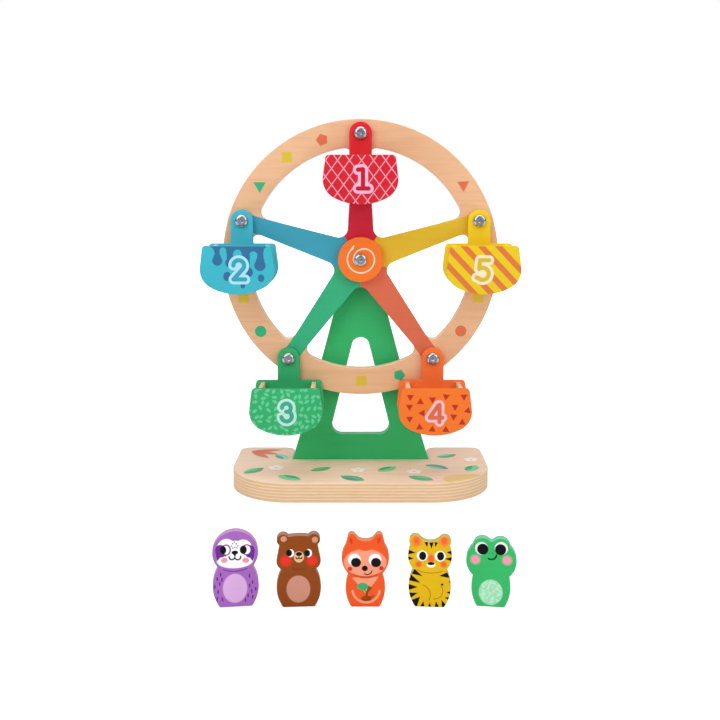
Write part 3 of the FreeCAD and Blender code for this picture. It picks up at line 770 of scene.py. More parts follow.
# Prints of one kind and ink, the last one on top. Numbers are in mm from the middle of the rider's foot.
# oval, soft, glow and mottle: centre, reaches and, where it isn't 0, a turn in degrees
# bar and wedge: start, end and width; arc: centre, radius, first and last angle and width
# freckle and tuft: centre
RIDER_PRINTS = {
    "sloth": [
        ("oval", "white",
         (-4.7, 33.4, 4.9, 5.1), (4.1, 32.9, 4.8, 4.8), (-0.1, 31.4, 5.2, 5.9), (-0.1, 26.2, 9.7, 4.3)),
        ("oval", "deep plum", (-7.7, 31.8, 2.9, 3.6, 12)),
        ("wedge", "deep plum", (-8.2, 31.4, -9.7, 26.4, 5.0), (-6.8, 31.0, -5.0, 28.6, 4.0)),
        ("oval", "deep plum", (7.8, 30.9, 2.6, 3.5, -10)),
        ("wedge", "deep plum", (8.3, 30.4, 9.3, 25.2, 4.4)),
        ("oval", "deep plum", (-4.9, 32.3, 2.6, 3.15), (6.1, 31.9, 2.7, 3.1)),
        ("oval", "white", (-4.85, 32.3, 1.85, 2.45), (6.1, 31.9, 2.0, 2.45)),
        ("oval", "black", (-6.4, 32.3, 1.65, 2.25), (4.3, 32.0, 1.85, 2.35), (-0.25, 30.7, 1.75, 1.05)),
        ("wedge", "black", (-0.25, 30.6, -0.25, 28.4, 3.2)),
        ("bar", "black", (-0.25, 29.6, -0.25, 28.0, 0.6)),
        ("arc", "black", (-1.75, 28.3, 1.5, 170, 335, 0.75), (1.35, 28.1, 1.55, 205, 370, 0.75)),
        ("oval", "dusty pink", (-5.85, 26.6, 1.75, 1.4, 8), (5.5, 26.0, 1.8, 1.4, -10)),
        ("freckle", "ash",
         (-1.3, 35.7), (0.6, 35.5), (-1.9, 34.3), (-0.2, 33.6), (1.4, 34.3), (-0.3, 36.5), (0.9, 33.2),
         (-1.2, 33.2)),
        # A painted shadow under the sloth's chin.
        ("arc", "plum", (-0.2, 37.6, 17.4, 249, 291, 0.7)),
        ("oval", "pale lilac", (-0.45, 10.6, 6.5, 8.2)),
        ("tuft", "deep plum",
         (-8.0, 18.7), (-9.8, 16.3), (-7.3, 15.8), (-8.6, 13.6), (-11.2, 11.9), (-9.5, 9.0), (-10.0, 5.2),
         (-7.3, 4.7), (7.4, 17.2), (9.0, 13.6), (7.4, 11.7), (10.6, 9.7), (8.5, 8.5), (6.5, 6.1),
         (8.9, 5.2), (5.0, 3.7)),
    ],
    "bear": [
        ("oval", "ear tan", (-7.9, 38.4, 1.65, 1.6), (8.8, 37.6, 1.6, 1.7)),
        ("glow", "cheek red", (-6.8, 26.2, 2.7, 2.7), (7.2, 26.0, 2.7, 2.7)),
        ("oval", "biscuit", (0.2, 28.25, 2.75, 3.15)),
        ("oval", "black", (0.2, 29.85, 1.65, 1.15)),
        ("bar", "dark brown", (0.2, 29.4, 0.2, 27.7, 0.45)),
        ("arc", "black", (-0.6, 28.1, 0.85, 190, 345, 0.6), (1.0, 28.1, 0.85, 195, 350, 0.6)),
        ("oval", "white", (-4.15, 30.4, 1.8, 2.2), (5.4, 30.2, 1.8, 2.3)),
        ("oval", "black", (-5.1, 30.6, 1.6, 1.9), (4.6, 30.2, 1.55, 1.85)),
        # A painted shadow under the bear's chin.
        ("arc", "chin brown", (0, 30.0, 8.8, 250, 290, 0.6)),
        ("oval", "tan", (-0.25, 10.2, 6.4, 7.6)),
    ],
    "fox": [
        ("oval", "ear red", (-7.65, 37.3, 0.85, 1.75, 12), (7.2, 37.5, 0.85, 1.75, -12)),
        ("wedge", "salmon", (0, 16.9, 0.4, 7.3, 14.4)),
        # A painted shadow under the fox's head.
        ("arc", "rust", (0, 29.3, 12.5, 240, 300, 1.3)),
        ("oval", "salmon", (-0.1, 25.1, 11.4, 7.6)),
        ("oval", "fox orange", (0.0, 33.4, 3.5, 1.8)),
        ("oval", "white", (-5.9, 26.6, 3.4, 3.45), (5.2, 26.6, 3.4, 3.45)),
        ("oval", "black", (-5.05, 25.1, 2.7, 2.6), (5.7, 25.1, 2.7, 2.6), (-0.3, 21.8, 1.6, 1.55)),
        ("arc", "dark brown", (1.0, 20.9, 2.56, 234, 346, 0.65)),
        ("oval", "fox red", (-8.3, 21.5, 1.2, 1.2), (8.6, 21.9, 1.2, 1.2)),
        ("arc", "salmon", (0.4, 9.9, 7.3, 187, 353, 1.3)),
        ("wedge", "brown", (2.6, 11.6, 0.4, 7.0, 2.8)),
        ("bar", "brown", (0.9, 8.6, 0.5, 5.2, 1.3)),
        ("oval", "brown", (0.6, 4.9, 2.9, 1.5)),
        ("bar", "brown", (2.2, 5.4, 4.2, 6.2, 0.8)),
        ("oval", "leaf green", (-1.5, 11.7, 3.0, 2.0)),
        ("wedge", "leaf green", (-1.2, 11.4, 0.2, 8.2, 3.6)),
    ],
    "tiger": [
        ("glow", "orange", (-7.15, 37.0, 2.5, 3.0), (7.6, 37.3, 2.5, 3.0)),
        ("glow", "coral red", (-7.15, 37.0, 1.3, 1.7), (7.6, 37.3, 1.3, 1.7)),
        ("wedge", "black",
         (-2.0, 36.5, -1.5, 33.6, 2.1), (0.7, 36.6, 0.8, 32.8, 2.5), (3.3, 36.5, 2.8, 33.7, 1.9),
         (-12.4, 30.8, -7.6, 30.3, 3.4), (12.8, 31.0, 9.0, 31.0, 3.8), (-12.0, 27.1, -8.6, 27.2, 2.4),
         (12.2, 27.3, 7.9, 27.4, 2.8)),
        ("oval", "white", (-4.1, 28.8, 2.9, 2.9), (5.5, 28.8, 2.9, 2.9)),
        ("oval", "black", (-3.9, 28.7, 1.9, 2.4), (5.7, 28.8, 1.9, 2.4)),
        ("soft", "tiger orange", (0.6, 27.2, 1.7, 2.4)),
        ("oval", "white", (0.6, 23.7, 2.4, 1.4)),
        ("oval", "black", (0.6, 24.5, 1.85, 0.85)),
        ("soft", "tiger orange", (-6.0, 24.0, 1.7, 1.7), (7.4, 24.2, 1.7, 1.7)),
        ("arc", "dark gold",
         (0.3, 38.0, 18.8, 247, 291, 0.5), (-5.5, 6.8, 5.9, -30, 72, 0.5), (2.5, 9.2, 4.6, -95, 40, 0.5)),
        ("wedge", "black",
         (-9.0, 19.9, -3.8, 17.3, 3.2), (-11.2, 16.6, -4.9, 13.5, 3.9), (-12.6, 11.0, -6.5, 11.1, 4.4),
         (-12.0, 5.9, -6.4, 7.8, 4.2), (-8.9, 1.4, -5.1, 5.7, 5.4), (-3.8, 0.0, -3.3, 3.2, 2.4),
         (0.1, 0.2, 0.1, 2.6, 1.7), (3.9, 0.0, 3.5, 3.3, 2.5), (8.2, 0.2, 6.4, 4.2, 3.2),
         (10.9, 18.6, 5.0, 17.7, 3.9), (12.6, 14.1, 10.0, 14.7, 2.4), (12.2, 8.2, 9.0, 8.8, 2.8),
         (11.6, 4.6, 8.2, 5.8, 3.0)),
        ("oval", "black", (6.7, 12.9, 0.65, 0.65)),
    ],
    "frog": [
        ("oval", "white", (-5.3, 32.7, 3.4, 3.6), (5.2, 33.2, 3.45, 3.6)),
        ("oval", "black", (-4.65, 32.3, 3.0, 3.1), (4.85, 32.5, 3.0, 3.1)),
        ("oval", "moss", (-1.0, 30.3, 0.45, 0.3), (0.8, 30.3, 0.45, 0.3)),
        ("arc", "deep moss", (0.0, 29.5, 2.7, 235, 357, 0.95)),
        ("soft", "cheek pink", (-8.5, 26.3, 2.4, 2.4), (8.4, 26.7, 2.4, 2.4)),
        ("oval", "pale mint", (0, 8.3, 6.4, 7.2)),
        ("mottle", "light mint", (0, 8.3, 6.1, 6.9)),
    ],
}
# How far the edge of each kind of oval fades, as a share of its reach.
OVAL_BLURS = {"oval": 0.05, "soft": 0.4, "glow": 0.6}
FRECKLE_REACH = 0.38
TUFT_HALF_LENGTH = 0.7
TUFT_WIDTH = 0.85


def lay_rider_print(finish, kind, ink, numbers):
    if kind in OVAL_BLURS:
        finish.lay(finish.oval(*numbers, blur=OVAL_BLURS[kind]), ink)
    elif kind == "freckle":
        finish.lay(finish.oval(*numbers, FRECKLE_REACH, FRECKLE_REACH), ink)
    elif kind == "mottle":
        scribble = finish.bench.noise(finish.spot, scale=620.0)
        lines = finish.bench.step(scribble, 0.44, 0.60)
        finish.lay(finish.bench.sum("MULTIPLY", finish.oval(*numbers), lines), ink, 0.7)
    elif kind == "tuft":
        across, high = numbers
        hair = finish.bar((across, high - TUFT_HALF_LENGTH), (across, high + TUFT_HALF_LENGTH))
        finish.lay(finish.stroke([hair], TUFT_WIDTH), ink)
    elif kind == "bar":
        across, high, far_across, far_high, width = numbers
        finish.lay(finish.stroke([finish.bar((across, high), (far_across, far_high))], width), ink)
    elif kind == "wedge":
        across, high, far_across, far_high, width = numbers
        finish.lay(finish.wedge((across, high), (far_across, far_high), width), ink)
    else:
        across, high, radius, first, last, width = numbers
        finish.lay(finish.stroke([finish.arc((across, high), radius, first, last)], width), ink)


def printed_rider(name):
    place = RIDER_PLACES[name]
    turn = -math.atan(place / RIDER_VIEW)
    finish = Finish(f"rider_{name}_print", (place * MM, RIDER_ROW * MM, 0), turn, both_faces=True)
    face_paint, lit_edge_paint = RIDER_PAINTS[name]
    finish.colour = PAINTS[face_paint]
    for kind, ink, *prints in RIDER_PRINTS[name]:
        for numbers in prints:
            lay_rider_print(finish, kind, ink, numbers)
    # The sawn edges take the paler paint, a painted highlight of the light from above.
    finish.colour = finish.bench.coat(finish.broad, PAINTS[lit_edge_paint], finish.colour)
    return finish_paint(finish)


# Wheel

SPOKE_INKS = ["spoke red", "spoke yellow", "coral", "spoke green", "blue"]
# The painted strip of a spoke: where its taper starts and stops, half its width there, and its end.
STRIP_TAPER = (20 * MM, 84 * MM)
STRIP_HALF_WIDTHS = (11.6 * MM, 6.2 * MM)
STRIP_END = 96 * MM
# All wood within this radius is painted.
PAINTED_RADIUS = 75.5 * MM
# Prints of the rim: clock angle in degrees, shift across and up in mm, sides, reach in mm, turn, ink.
RIM_MIDDLE = 92.3
RIM_PRINTS = [
    (-18, 0.3, -0.4, 5, 3.7, 1, "print coral"), (-36, 0.2, 0.0, 4, 3.8, 3, "print yellow"),
    (-54, 0.3, -0.3, 3, 2.7, 90, "print green"), (54, 1.0, 0.4, 3, 2.6, 94, "print coral"),
    (90, 0.0, 0.0, 5, 3.7, 36, "print green"), (108, 0.0, -0.2, 4, 3.8, 0, "print yellow"),
    (-90, 0.0, 0.0, 5, 3.7, 1, "print coral"), (-108, 0.2, -0.2, 4, 3.8, 0, "print yellow"),
    (-126, -0.4, -0.1, 32, 4.3, 0, "print green"), (126, 0.6, 0.2, 32, 4.2, 0, "print coral"),
    (162, 0.8, 0.0, 5, 3.7, 36, "print green"), (180, 0.5, 0.0, 4, 3.8, 0, "print yellow"),
]


def lay_rim_prints(finish):
    for clock, shift_across, shift_up, sides, reach, shape_turn, ink in RIM_PRINTS:
        across = RIM_MIDDLE * math.sin(math.radians(clock)) + shift_across
        high = RIM_MIDDLE * math.cos(math.radians(clock)) + shift_up
        finish.lay(finish.polygon(across, high, reach, sides, shape_turn), ink)


def spoke_paint(finish):
    """Where the wheel is painted, as a mask, and the paint of the nearest spoke."""
    bench = finish.bench
    across, _, high = bench.parts(finish.spot)
    radius = bench.vector("LENGTH", bench.join(across, high, 0.0))
    sector = bench.sum("DIVIDE", bench.sum("ARCTAN2", across, high), math.radians(SPOKE_STEP))
    nearest = bench.sum("ROUND", sector)
    turn = bench.sum("MULTIPLY", bench.sum("SUBTRACT", sector, nearest), math.radians(SPOKE_STEP))
    along = bench.sum("MULTIPLY", radius, bench.sum("COSINE", turn))
    aside = bench.sum("ABSOLUTE", bench.sum("MULTIPLY", radius, bench.sum("SINE", turn)))
    half_width = bench.step(along, *STRIP_TAPER, *STRIP_HALF_WIDTHS)
    short_of_end = bench.sum("LESS_THAN", radius, STRIP_END)
    strip = bench.sum("MULTIPLY", bench.sum("LESS_THAN", aside, half_width), short_of_end)
    painted = bench.sum("MAXIMUM", strip, bench.sum("LESS_THAN", radius, PAINTED_RADIUS))
    spoke = bench.sum("WRAP", nearest, 4.5, -0.5)
    paint = PAINTS[SPOKE_INKS[0]]
    for count in range(1, 5):
        is_this = bench.sum("COMPARE", spoke, float(count), 0.3)
        paint = bench.coat(is_this, paint, PAINTS[SPOKE_INKS[count]])
    return painted, paint


def wheel_finish():
    finish = Finish("wheel_plywood", centre=HUB, both_faces=True)
    bench = finish.bench
    place = finish.object_place
    _, deep, _ = bench.parts(place)
    face = bench.use(
        WOOD_FIGURE, Place=place, Light=shade(241, 192, 151), Dark=shade(214, 158, 112), Strength=0.4
    )
    # The sawn edge's layers and glue lines are the ply's own; their pale tones, paler than the faces, are
    # partly a painted highlight of the light from above on the rim's inner faces.
    edge = bench.use(
        PLY_EDGE, Place=place, Layers=5.0,
        Depth=bench.sum("DIVIDE", bench.sum("SUBTRACT", deep, WHEEL_FRONT), WHEEL_THICKNESS),
        Light=shade(255, 232, 208), Dark=shade(240, 204, 166), Glue=shade(216, 168, 128),
    )
    finish.colour = bench.coat(finish.broad, edge["Colour"], face["Colour"])
    painted, paint = spoke_paint(finish)
    film = bench.use(PAINT_FILM, Place=place, Colour=paint)
    lay_rim_prints(finish)
    finish.colour = bench.coat(painted, finish.colour, film["Colour"])
    roughness = bench.sum("MINIMUM", face["Roughness"], bench.sum("ADD", film["Roughness"], 0.06))
    height = bench.sum("MULTIPLY", face["Height"], bench.sum("SUBTRACT", 1.0, painted))
    return finish.finish(roughness, height, bump=0.18, coat=0.03)


def slat_finish():
    """Bare peeled wood whose grain runs from the front of a gondola to its back."""
    finish = Finish("slat_plywood")
    bench = finish.bench
    turned = bench.add("ShaderNodeMapping")
    bench.feed(turned.inputs["Vector"], finish.object_place)
    turned.inputs["Rotation"].default_value = (0, 0, math.radians(90))
    face = bench.use(
        WOOD_FIGURE, Place=turned.outputs[0], Light=shade(246, 222, 186), Dark=shade(222, 184, 138),
        Strength=0.7,
    )
    finish.colour = face["Colour"]
    return finish.finish(face["Roughness"], face["Height"], bump=0.2)


# Base board

# Print of the base, in mm and degrees.
# Leaves: place across and deep, length, width, turn, ink, and the ink of the upper half.
LEAVES = [
    (-80, -18, 20, 10, 50, "spoke green", "light leaf"), (-62, 20, 18, 9, 122, "mint", "teal"),
    (-52, -36, 21, 11, -34, "light leaf", "spoke green"), (-30, -14, 18, 9, 34, "leaf green", "light leaf"),
    (-6, -37, 21, 11, 146, "spoke green", "teal"), (20, -14, 19, 10, 44, "light leaf", "leaf green"),
    (44, -37, 20, 11, -30, "spoke green", "light leaf"), (58, -8, 20, 10, 146, "teal", "mint"),
    (84, -12, 18, 10, 62, "light leaf", "leaf green"), (68, 22, 18, 9, 28, "leaf green", "mint"),
]
# The upper half of a leaf starts this far above its middle line.
LEAF_RIB = 0.2
# Flowers: place across and deep, and how far the petals stand out.
FLOWERS = [(-64, -10, 3.8), (-2, -16, 3.4), (40, -20, 3.6), (86, 12, 3.4)]
PETALS = 5
# The frond: its root, then its leaflets' distance from the root, length, width and turns.
FROND_ROOT = (-88, 36)
LEAFLET_REACH, LEAFLET_LENGTH, LEAFLET_WIDTH = 13, 25, 7
LEAFLET_TURNS = (-52, -22, 8)
# The sun spot: its centre and its reaches.
SUN_SPOT = (80, -40, 20, 13)


def step_away(place, reach, turn):
    """The point that lies at a distance from a place, a turn in degrees away from +X."""
    way = math.radians(turn)
    return place[0] + reach * math.cos(way), place[1] + reach * math.sin(way)


def lens_print(finish, across, deep, length, width, turn):
    """A leaf shape, where two large discs overlap; returns it and its upper half."""
    radius = (length * length / 4 + width * width / 4) / width
    shift = radius - width / 2
    discs = [
        finish.oval(*step_away((across, deep), side * shift, turn + 90), radius, radius, blur=0.012)
        for side in (-1, 1)
    ]
    upper_centre = step_away((across, deep), radius + LEAF_RIB, turn + 90)
    upper = finish.oval(*upper_centre, radius, radius, blur=0.006)
    lens = finish.bench.sum("MULTIPLY", *discs)
    return lens, finish.bench.sum("MULTIPLY", lens, upper)


def print_base_top(finish):
    """A loose scatter of leaves, small flowers, a frond and a sun spot."""
    finish.lay(finish.oval(*SUN_SPOT), "ochre", 0.6)
    for turn in LEAFLET_TURNS:
        middle = step_away(FROND_ROOT, LEAFLET_REACH, turn)
        leaflet, _ = lens_print(finish, *middle, LEAFLET_LENGTH, LEAFLET_WIDTH, turn)
        finish.lay(leaflet, "coral", 0.85)
    for across, deep, length, width, turn, ink, pale in LEAVES:
        lens, upper = lens_print(finish, across, deep, length, width, turn)
        finish.lay(lens, ink, 0.9)
        finish.lay(upper, pale, 0.9)
    for across, deep, reach in FLOWERS:
        for petal in range(PETALS):
            place = step_away((across, deep), reach, 360 / PETALS * petal + 20)
            finish.lay(finish.oval(*place, reach * 0.62, reach * 0.62), "white", 0.85)
        finish.lay(finish.oval(across, deep, reach * 0.45, reach * 0.45), "peach")


def base_finish():
    finish = Finish("base_plywood_print")
    bench = finish.bench
    place = finish.object_place
    across, deep, high = bench.parts(place)
    face = bench.use(
        WOOD_FIGURE, Place=place, Light=shade(251, 221, 198), Dark=shade(232, 193, 166), Strength=0.5
    )
    edge = bench.use(
        PLY_EDGE, Place=place, Layers=13.0, Depth=bench.sum("DIVIDE", high, BASE_THICKNESS),
        Light=shade(242, 212, 177), Dark=shade(228, 188, 146), Glue=shade(176, 118, 78),
    )
    _, _, up = bench.parts(finish.normal)
    flat = bench.sum("GREATER_THAN", bench.sum("ABSOLUTE", up), FLAT_FACE)
    finish.colour = bench.coat(flat, edge["Colour"], face["Colour"])
    # The prints lie on the top, so depth takes the place of height.
    finish.spot = bench.join(across, 0.0, deep)
    finish.printed = bench.sum("GREATER_THAN", up, FLAT_FACE)
    print_base_top(finish)
    height = bench.coat(flat, edge["Height"], face["Height"])
    return finish.finish(face["Roughness"], height, bump=0.25, coat=0.03)


# Hub disc and steel


def hub_finish():
    """Orange paint with a painted spiral, made of round strokes, in mm from the axle."""
    finish = Finish("hub_disc_print", centre=HUB)
    finish.colour = PAINTS["orange"]
    spiral = [
        finish.bar((-4.9, 10.2), (-6.2, 8.4)),
        finish.arc((0.25, 0.35), 10.0, 126, 360),
        finish.arc((2.55, 0.35), 7.7, 0, 180),
        finish.arc((-0.75, 0.35), 4.4, 180, 290),
    ]
    finish.lay(finish.stroke(spiral, width=1.0), "peach white")
    return finish_paint(finish)


def steel_finish(name, colour, low, high, bump):
    """Plated steel whose roughness runs from low to high, rougher on faces turned flat to the front, which
    are also painted darker and bluer as a painted dark reflection.
    """
    finish = Finish(name)
    bench = finish.bench
    marks = bench.use(PLATING_MARKS, Place=finish.object_place, Low=low, High=high)
    tint = bench.noise(finish.object_place, scale=300.0)
    plated = bench.coat(bench.sum("MULTIPLY", tint, 0.2), colour, (0.42, 0.43, 0.48, 1))
    _, deep, _ = bench.parts(finish.normal)
    turned_flat = bench.step(deep, -0.99, -0.95, 1.0, 0.0)
    # Faces turned flat to the front are painted darker and bluer, a painted dark reflection; they are also
    # made rougher below.
    finish.colour = bench.coat(turned_flat, plated, (0.32, 0.33, 0.40, 1))
    roughness = bench.sum("ADD", marks["Roughness"], bench.sum("MULTIPLY", turned_flat, 0.25))
    return finish.finish(roughness, marks["Height"], bump, gloss=0.5, metallic=1.0)


# Pieces

# Two corners closer than this are one.
SAME_CORNER = 0.002 * MM
# Facets that bend less than this lie in one plane.
SAME_PLANE = math.radians(0.5)
# Edges that bend more than this are sanded, and those that bend less than the next look smooth.
SANDED_BEND = math.radians(50)
SMOOTH_BEND = math.radians(32)


def pick_only(piece):
    bpy.ops.object.select_all(action="DESELECT")
    piece.select_set(True)
    bpy.context.view_layer.objects.active = piece


def round_over(node, width, material, segments=3):
    """A copy of a sawn plate with its edges sanded round, which stands for the plain one."""
    plate = frame["nodes"][node]
    piece = bpy.data.objects.new(f"{node}_sanded", plate.data.copy())
    bpy.context.scene.collection.objects.link(piece)
    pick_only(piece)
    bpy.ops.object.mode_set(mode="EDIT")
    bpy.ops.mesh.select_all(action="SELECT")
    bpy.ops.mesh.remove_doubles(threshold=SAME_CORNER)
    bpy.ops.mesh.customdata_custom_splitnormals_clear()
    bpy.ops.mesh.dissolve_limited(angle_limit=SAME_PLANE, use_dissolve_boundaries=False)
    bpy.ops.object.mode_set(mode="OBJECT")
    easing = piece.modifiers.new("sanding", "BEVEL")
    easing.width = width
    easing.segments = segments
    easing.limit_method = "ANGLE"
    easing.angle_limit = SANDED_BEND
    easing.use_clamp_overlap = True
    bpy.ops.object.modifier_apply(modifier=easing.name)
    bpy.ops.object.shade_smooth_by_angle(angle=SMOOTH_BEND)
    piece.data.materials.clear()
    piece.data.materials.append(material)
    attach(piece, plate["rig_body"])
    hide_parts(node)


CHROME = steel_finish("bright_steel", (0.60, 0.61, 0.65, 1), low=0.08, high=0.15, bump=0.01)
ZINC = steel_finish("zinc_steel", (0.60, 0.61, 0.63, 1), low=0.26, high=0.42, bump=0.05)
SLAT_WOOD = slat_finish()

round_over("base_board", 1.0 * MM, base_finish())
# The frame's sawn edges are painted paler green, a painted highlight of the light falling on them.
round_over("stand_frame", 0.7 * MM, plain_paint("frame_paint", "frame green", "frame lit edge"))
round_over("wheel", 0.7 * MM, wheel_finish())
round_over("hub_disc", 0.9 * MM, hub_finish())
GONDOLA_SLOTS = {
    1: "paint_red", 2: "paint_turquoise", 3: "paint_leaf_green", 4: "paint_orange", 5: "paint_yellow",
}
for number, slot in GONDOLA_SLOTS.items():
    # The backs and straps take the lighter copies of the front paints, painted light.
    back = plain_paint(f"gondola_{number}_paint", GONDOLAS[number][-1])
    round_over(f"gondola_{number}_back", 0.5 * MM, back)
    round_over(f"gondola_{number}_front", 0.5 * MM, printed_panel(number))
    for part in ("slat_left", "slat_right", "floor"):
        round_over(f"gondola_{number}_{part}", 0.3 * MM, SLAT_WOOD, segments=2)
RIDER_SLOTS = {
    "sloth": "paint_lilac", "bear": "paint_brown", "fox": "paint_fox_orange", "tiger": "paint_gold",
    "frog": "paint_leaf_green",
}
for name, slot in RIDER_SLOTS.items():
    round_over(f"rider_{name}", 0.6 * MM, printed_rider(name))
for node in ("axle_lock_nut", "axle_cap_nut"):
    round_over(node, 0.4 * MM, ZINC)

# Bolts

HEAD_RADIUS = 4.75 * MM
HEAD_HEIGHT = 2.75 * MM
DOME_ROUND = 1.95 * MM
# The flat rim between the dome and the socket, before the socket is set to its hexagon.
SOCKET_RIM = 0.35 * MM
SOCKET_HALF_WIDTH = 1.5 * MM
SOCKET_DEPTH = 1.5 * MM
# The socket's bottom slopes in by the first and goes deeper by the second.
SOCKET_CONE = (0.4 * MM, 0.25 * MM)
# From the head's edge in to the shank.
SHOULDER = 2.27 * MM
SHANK_CHAMFER = 0.5 * MM
SHANK_END_SHARE = 0.85
PIVOT_SHANK = 12 * MM
AXLE_BOLT_END = 24.3 * MM
# A head stands this far off the face under it.
HEAD_GAP = 0.2 * MM
# The round ends of the head have more corners than this.
FEW_CORNERS = 8


def set_hexagon(loop):
    """Moves the corners of a round loop, which faces -Y, straight out or in to the socket's hexagon."""
    wedge = math.radians(60)
    for corner in loop:
        turn = math.atan2(corner.co.z, corner.co.x)
        aside = (turn + wedge / 2) % wedge - wedge / 2
        reach = SOCKET_HALF_WIDTH / math.cos(aside)
        corner.co.x = reach * math.cos(turn)
        corner.co.z = reach * math.sin(turn)


def pick_faces(bolt, test):
    """Selects the faces that pass a test in edit mode."""
    shape = bmesh.from_edit_mesh(bolt.data)
    for face in shape.faces:
        face.select_set(test(face))
    shape.select_flush(True)
    bmesh.update_edit_mesh(bolt.data)


def is_front(face):
    return face.normal.y < -0.9 and len(face.verts) > FEW_CORNERS


def is_back(face):
    return face.normal.y > 0.9 and len(face.verts) > FEW_CORNERS


def shape_bolt(name, shank_end):
    """A round-topped bolt with a hexagon socket, head against Y = 0 and facing -Y."""
    bpy.ops.object.select_all(action="DESELECT")
    bpy.ops.mesh.primitive_cylinder_add(
        vertices=48, radius=HEAD_RADIUS, depth=HEAD_HEIGHT,
        location=(0, -HEAD_HEIGHT / 2, 0), rotation=(math.radians(90), 0, 0),
    )
    bolt = bpy.context.object
    bolt.name = name
    bpy.ops.object.transform_apply(location=True, rotation=True, scale=True)
    bpy.ops.object.mode_set(mode="EDIT")
    bpy.ops.mesh.select_mode(type="EDGE")
    bpy.ops.mesh.select_all(action="DESELECT")
    shape = bmesh.from_edit_mesh(bolt.data)
    for edge in shape.edges:
        edge.select_set(all(vert.co.y < -HEAD_HEIGHT * 0.9 for vert in edge.verts))
    shape.select_flush(True)
    bmesh.update_edit_mesh(bolt.data)
    bpy.ops.mesh.bevel(offset=DOME_ROUND, offset_type="OFFSET", segments=7, profile=0.5, affect="EDGES")
    bpy.ops.mesh.select_mode(type="FACE")
    pick_faces(bolt, is_front)
    bpy.ops.mesh.inset(thickness=SOCKET_RIM)
    shape = bmesh.from_edit_mesh(bolt.data)
    set_hexagon(next(face for face in shape.faces if face.select).verts)
    bmesh.update_edit_mesh(bolt.data)
    bpy.ops.mesh.extrude_region_move(TRANSFORM_OT_translate={"value": (0, SOCKET_DEPTH, 0)})
    bpy.ops.mesh.inset(thickness=SOCKET_CONE[0], depth=SOCKET_CONE[1])
    pick_faces(bolt, is_back)
    bpy.ops.mesh.inset(thickness=SHOULDER)
    bpy.ops.mesh.extrude_region_move(TRANSFORM_OT_translate={"value": (0, shank_end - SHANK_CHAMFER, 0)})
    bpy.ops.mesh.extrude_region_move(TRANSFORM_OT_translate={"value": (0, SHANK_CHAMFER, 0)})
    bpy.ops.transform.resize(value=(SHANK_END_SHARE, 1, SHANK_END_SHARE))
    bpy.ops.object.mode_set(mode="OBJECT")
    bpy.ops.object.shade_smooth_by_angle(angle=math.radians(35))
    bolt.data.materials.clear()
    bolt.data.materials.append(CHROME)
    return bolt


def set_bolt(pattern_bolt, name, place):
    bolt = pattern_bolt.copy()
    bolt.data = pattern_bolt.data.copy()
    bolt.name = name
    bpy.context.scene.collection.objects.link(bolt)
    bolt.data.transform(Matrix.Translation(place))
    return bolt


axle_bolt = shape_bolt("axle_bolt_head", AXLE_BOLT_END - (HUB_DISC_FRONT - HEAD_GAP))
axle_bolt.data.transform(Matrix.Translation((0, HUB_DISC_FRONT - HEAD_GAP, HUB.z)))
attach(axle_bolt, "stand")
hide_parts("axle_bolt")

pattern_bolt = shape_bolt("pivot_bolt_pattern", PIVOT_SHANK)
pivot_bolts = [
    set_bolt(pattern_bolt, f"pivot_bolt_{count + 1}", (pivot.x, STRAP_FRONT - HEAD_GAP, pivot.z))
    for count, pivot in enumerate(PIVOTS)
]
bpy.data.objects.remove(pattern_bolt)
for bolt in pivot_bolts:
    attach(bolt, "wheel")
    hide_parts("pivot_bolts")

# Floor, light and camera


def studio_floor():
    """A white floor that glows for the camera, more so far away, where it melts into the background."""
    bpy.ops.object.select_all(action="DESELECT")
    bpy.ops.mesh.primitive_plane_add(size=12, location=(0, 0, 0))
    floor = bpy.context.object
    floor.name = "studio_floor"
    material = bpy.data.materials.new("studio_white")
    material.use_nodes = True
    shader = material.node_tree.nodes["Principled BSDF"]
    shader.inputs["Base Color"].default_value = (0.8, 0.8, 0.8, 1)
    shader.inputs["Roughness"].default_value = 0.9
    shader.inputs["Emission Color"].default_value = (1, 1, 1, 1)
    bench = Bench(material.node_tree)
    place = bench.add("ShaderNodeTexCoord").outputs["Object"]
    far = bench.step(bench.vector("LENGTH", place), 0.35, 1.2)
    seen = bench.add("ShaderNodeLightPath").outputs["Is Camera Ray"]
    glow = bench.sum("MULTIPLY", seen, bench.sum("ADD", 0.4, bench.sum("MULTIPLY", far, 0.6)))
    bench.feed(shader.inputs["Emission Strength"], bench.sum("ADD", 0.1, glow))
    floor.data.materials.append(material)


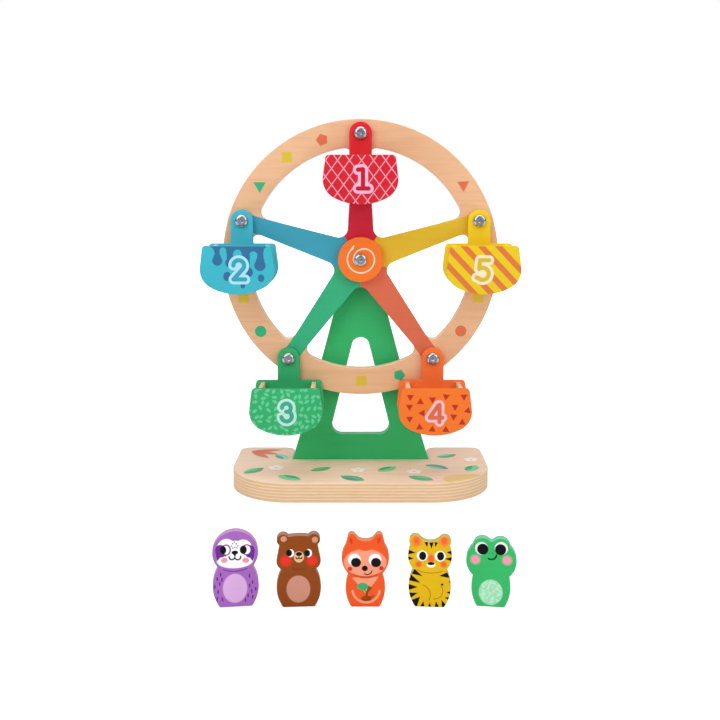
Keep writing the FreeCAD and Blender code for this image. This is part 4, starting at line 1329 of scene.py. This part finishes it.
def soft_lamp(name, place, target, size, power):
    lamp = bpy.data.lights.new(name, "AREA")
    lamp.shape = "RECTANGLE"
    lamp.size, lamp.size_y = size
    lamp.energy = power
    holder = bpy.data.objects.new(name, lamp)
    holder.location = place
    holder.rotation_euler = (Vector(target) - Vector(place)).to_track_quat("-Z", "Y").to_euler()
    bpy.context.scene.collection.objects.link(holder)


def studio_world():
    """A white background, and for the light a sky that is darker low down, for steel to mirror."""
    world = bpy.data.worlds.new("studio_air")
    bpy.context.scene.world = world
    world.use_nodes = True
    bench = Bench(world.node_tree)
    world.node_tree.nodes.clear()
    _, _, up = bench.parts(bench.add("ShaderNodeTexCoord").outputs["Generated"])
    sky_colour = bench.coat(bench.step(up, 0.05, 0.55), (0.16, 0.17, 0.19, 1), (1, 1, 1, 1))
    sky = bench.add("ShaderNodeBackground")
    bench.feed(sky.inputs["Color"], sky_colour)
    sky.inputs["Strength"].default_value = 0.62
    white = bench.add("ShaderNodeBackground")
    white.inputs["Color"].default_value = (1, 1, 1, 1)
    seen = bench.add("ShaderNodeLightPath").outputs["Is Camera Ray"]
    either = bench.add("ShaderNodeMixShader")
    for socket, value in zip(either.inputs, (seen, sky.outputs[0], white.outputs[0])):
        bench.feed(socket, value)
    output = bench.add("ShaderNodeOutputWorld")
    bench.feed(output.inputs["Surface"], either.outputs[0])


def set_camera():
    tilt_down = 7.53
    camera = bpy.data.cameras.new("camera")
    camera.lens = 47.93
    camera.sensor_width = 36
    camera.shift_x = -0.0008
    camera.shift_y = -0.0600
    camera.clip_start = 0.01
    holder = bpy.data.objects.new("camera", camera)
    holder.location = (0, -0.7151, 0.2234)
    holder.rotation_euler = (math.radians(90 - tilt_down), 0, 0)
    bpy.context.scene.collection.objects.link(holder)
    bpy.context.scene.camera = holder


studio_floor()
studio_world()
soft_lamp("key_softbox", (-0.8, -1.3, 0.9), (0, 0, 0.15), (1.0, 1.0), 7.6)
soft_lamp("fill_softbox", (1.0, -1.2, 0.8), (0, 0, 0.15), (1.0, 1.0), 5.6)
soft_lamp("top_softbox", (0.0, 0.0, 1.4), (0, 0, 0.1), (1.4, 1.4), 8)
set_camera()
bpy.context.scene.view_settings.view_transform = "Standard"
bpy.context.scene.view_settings.look = "None"
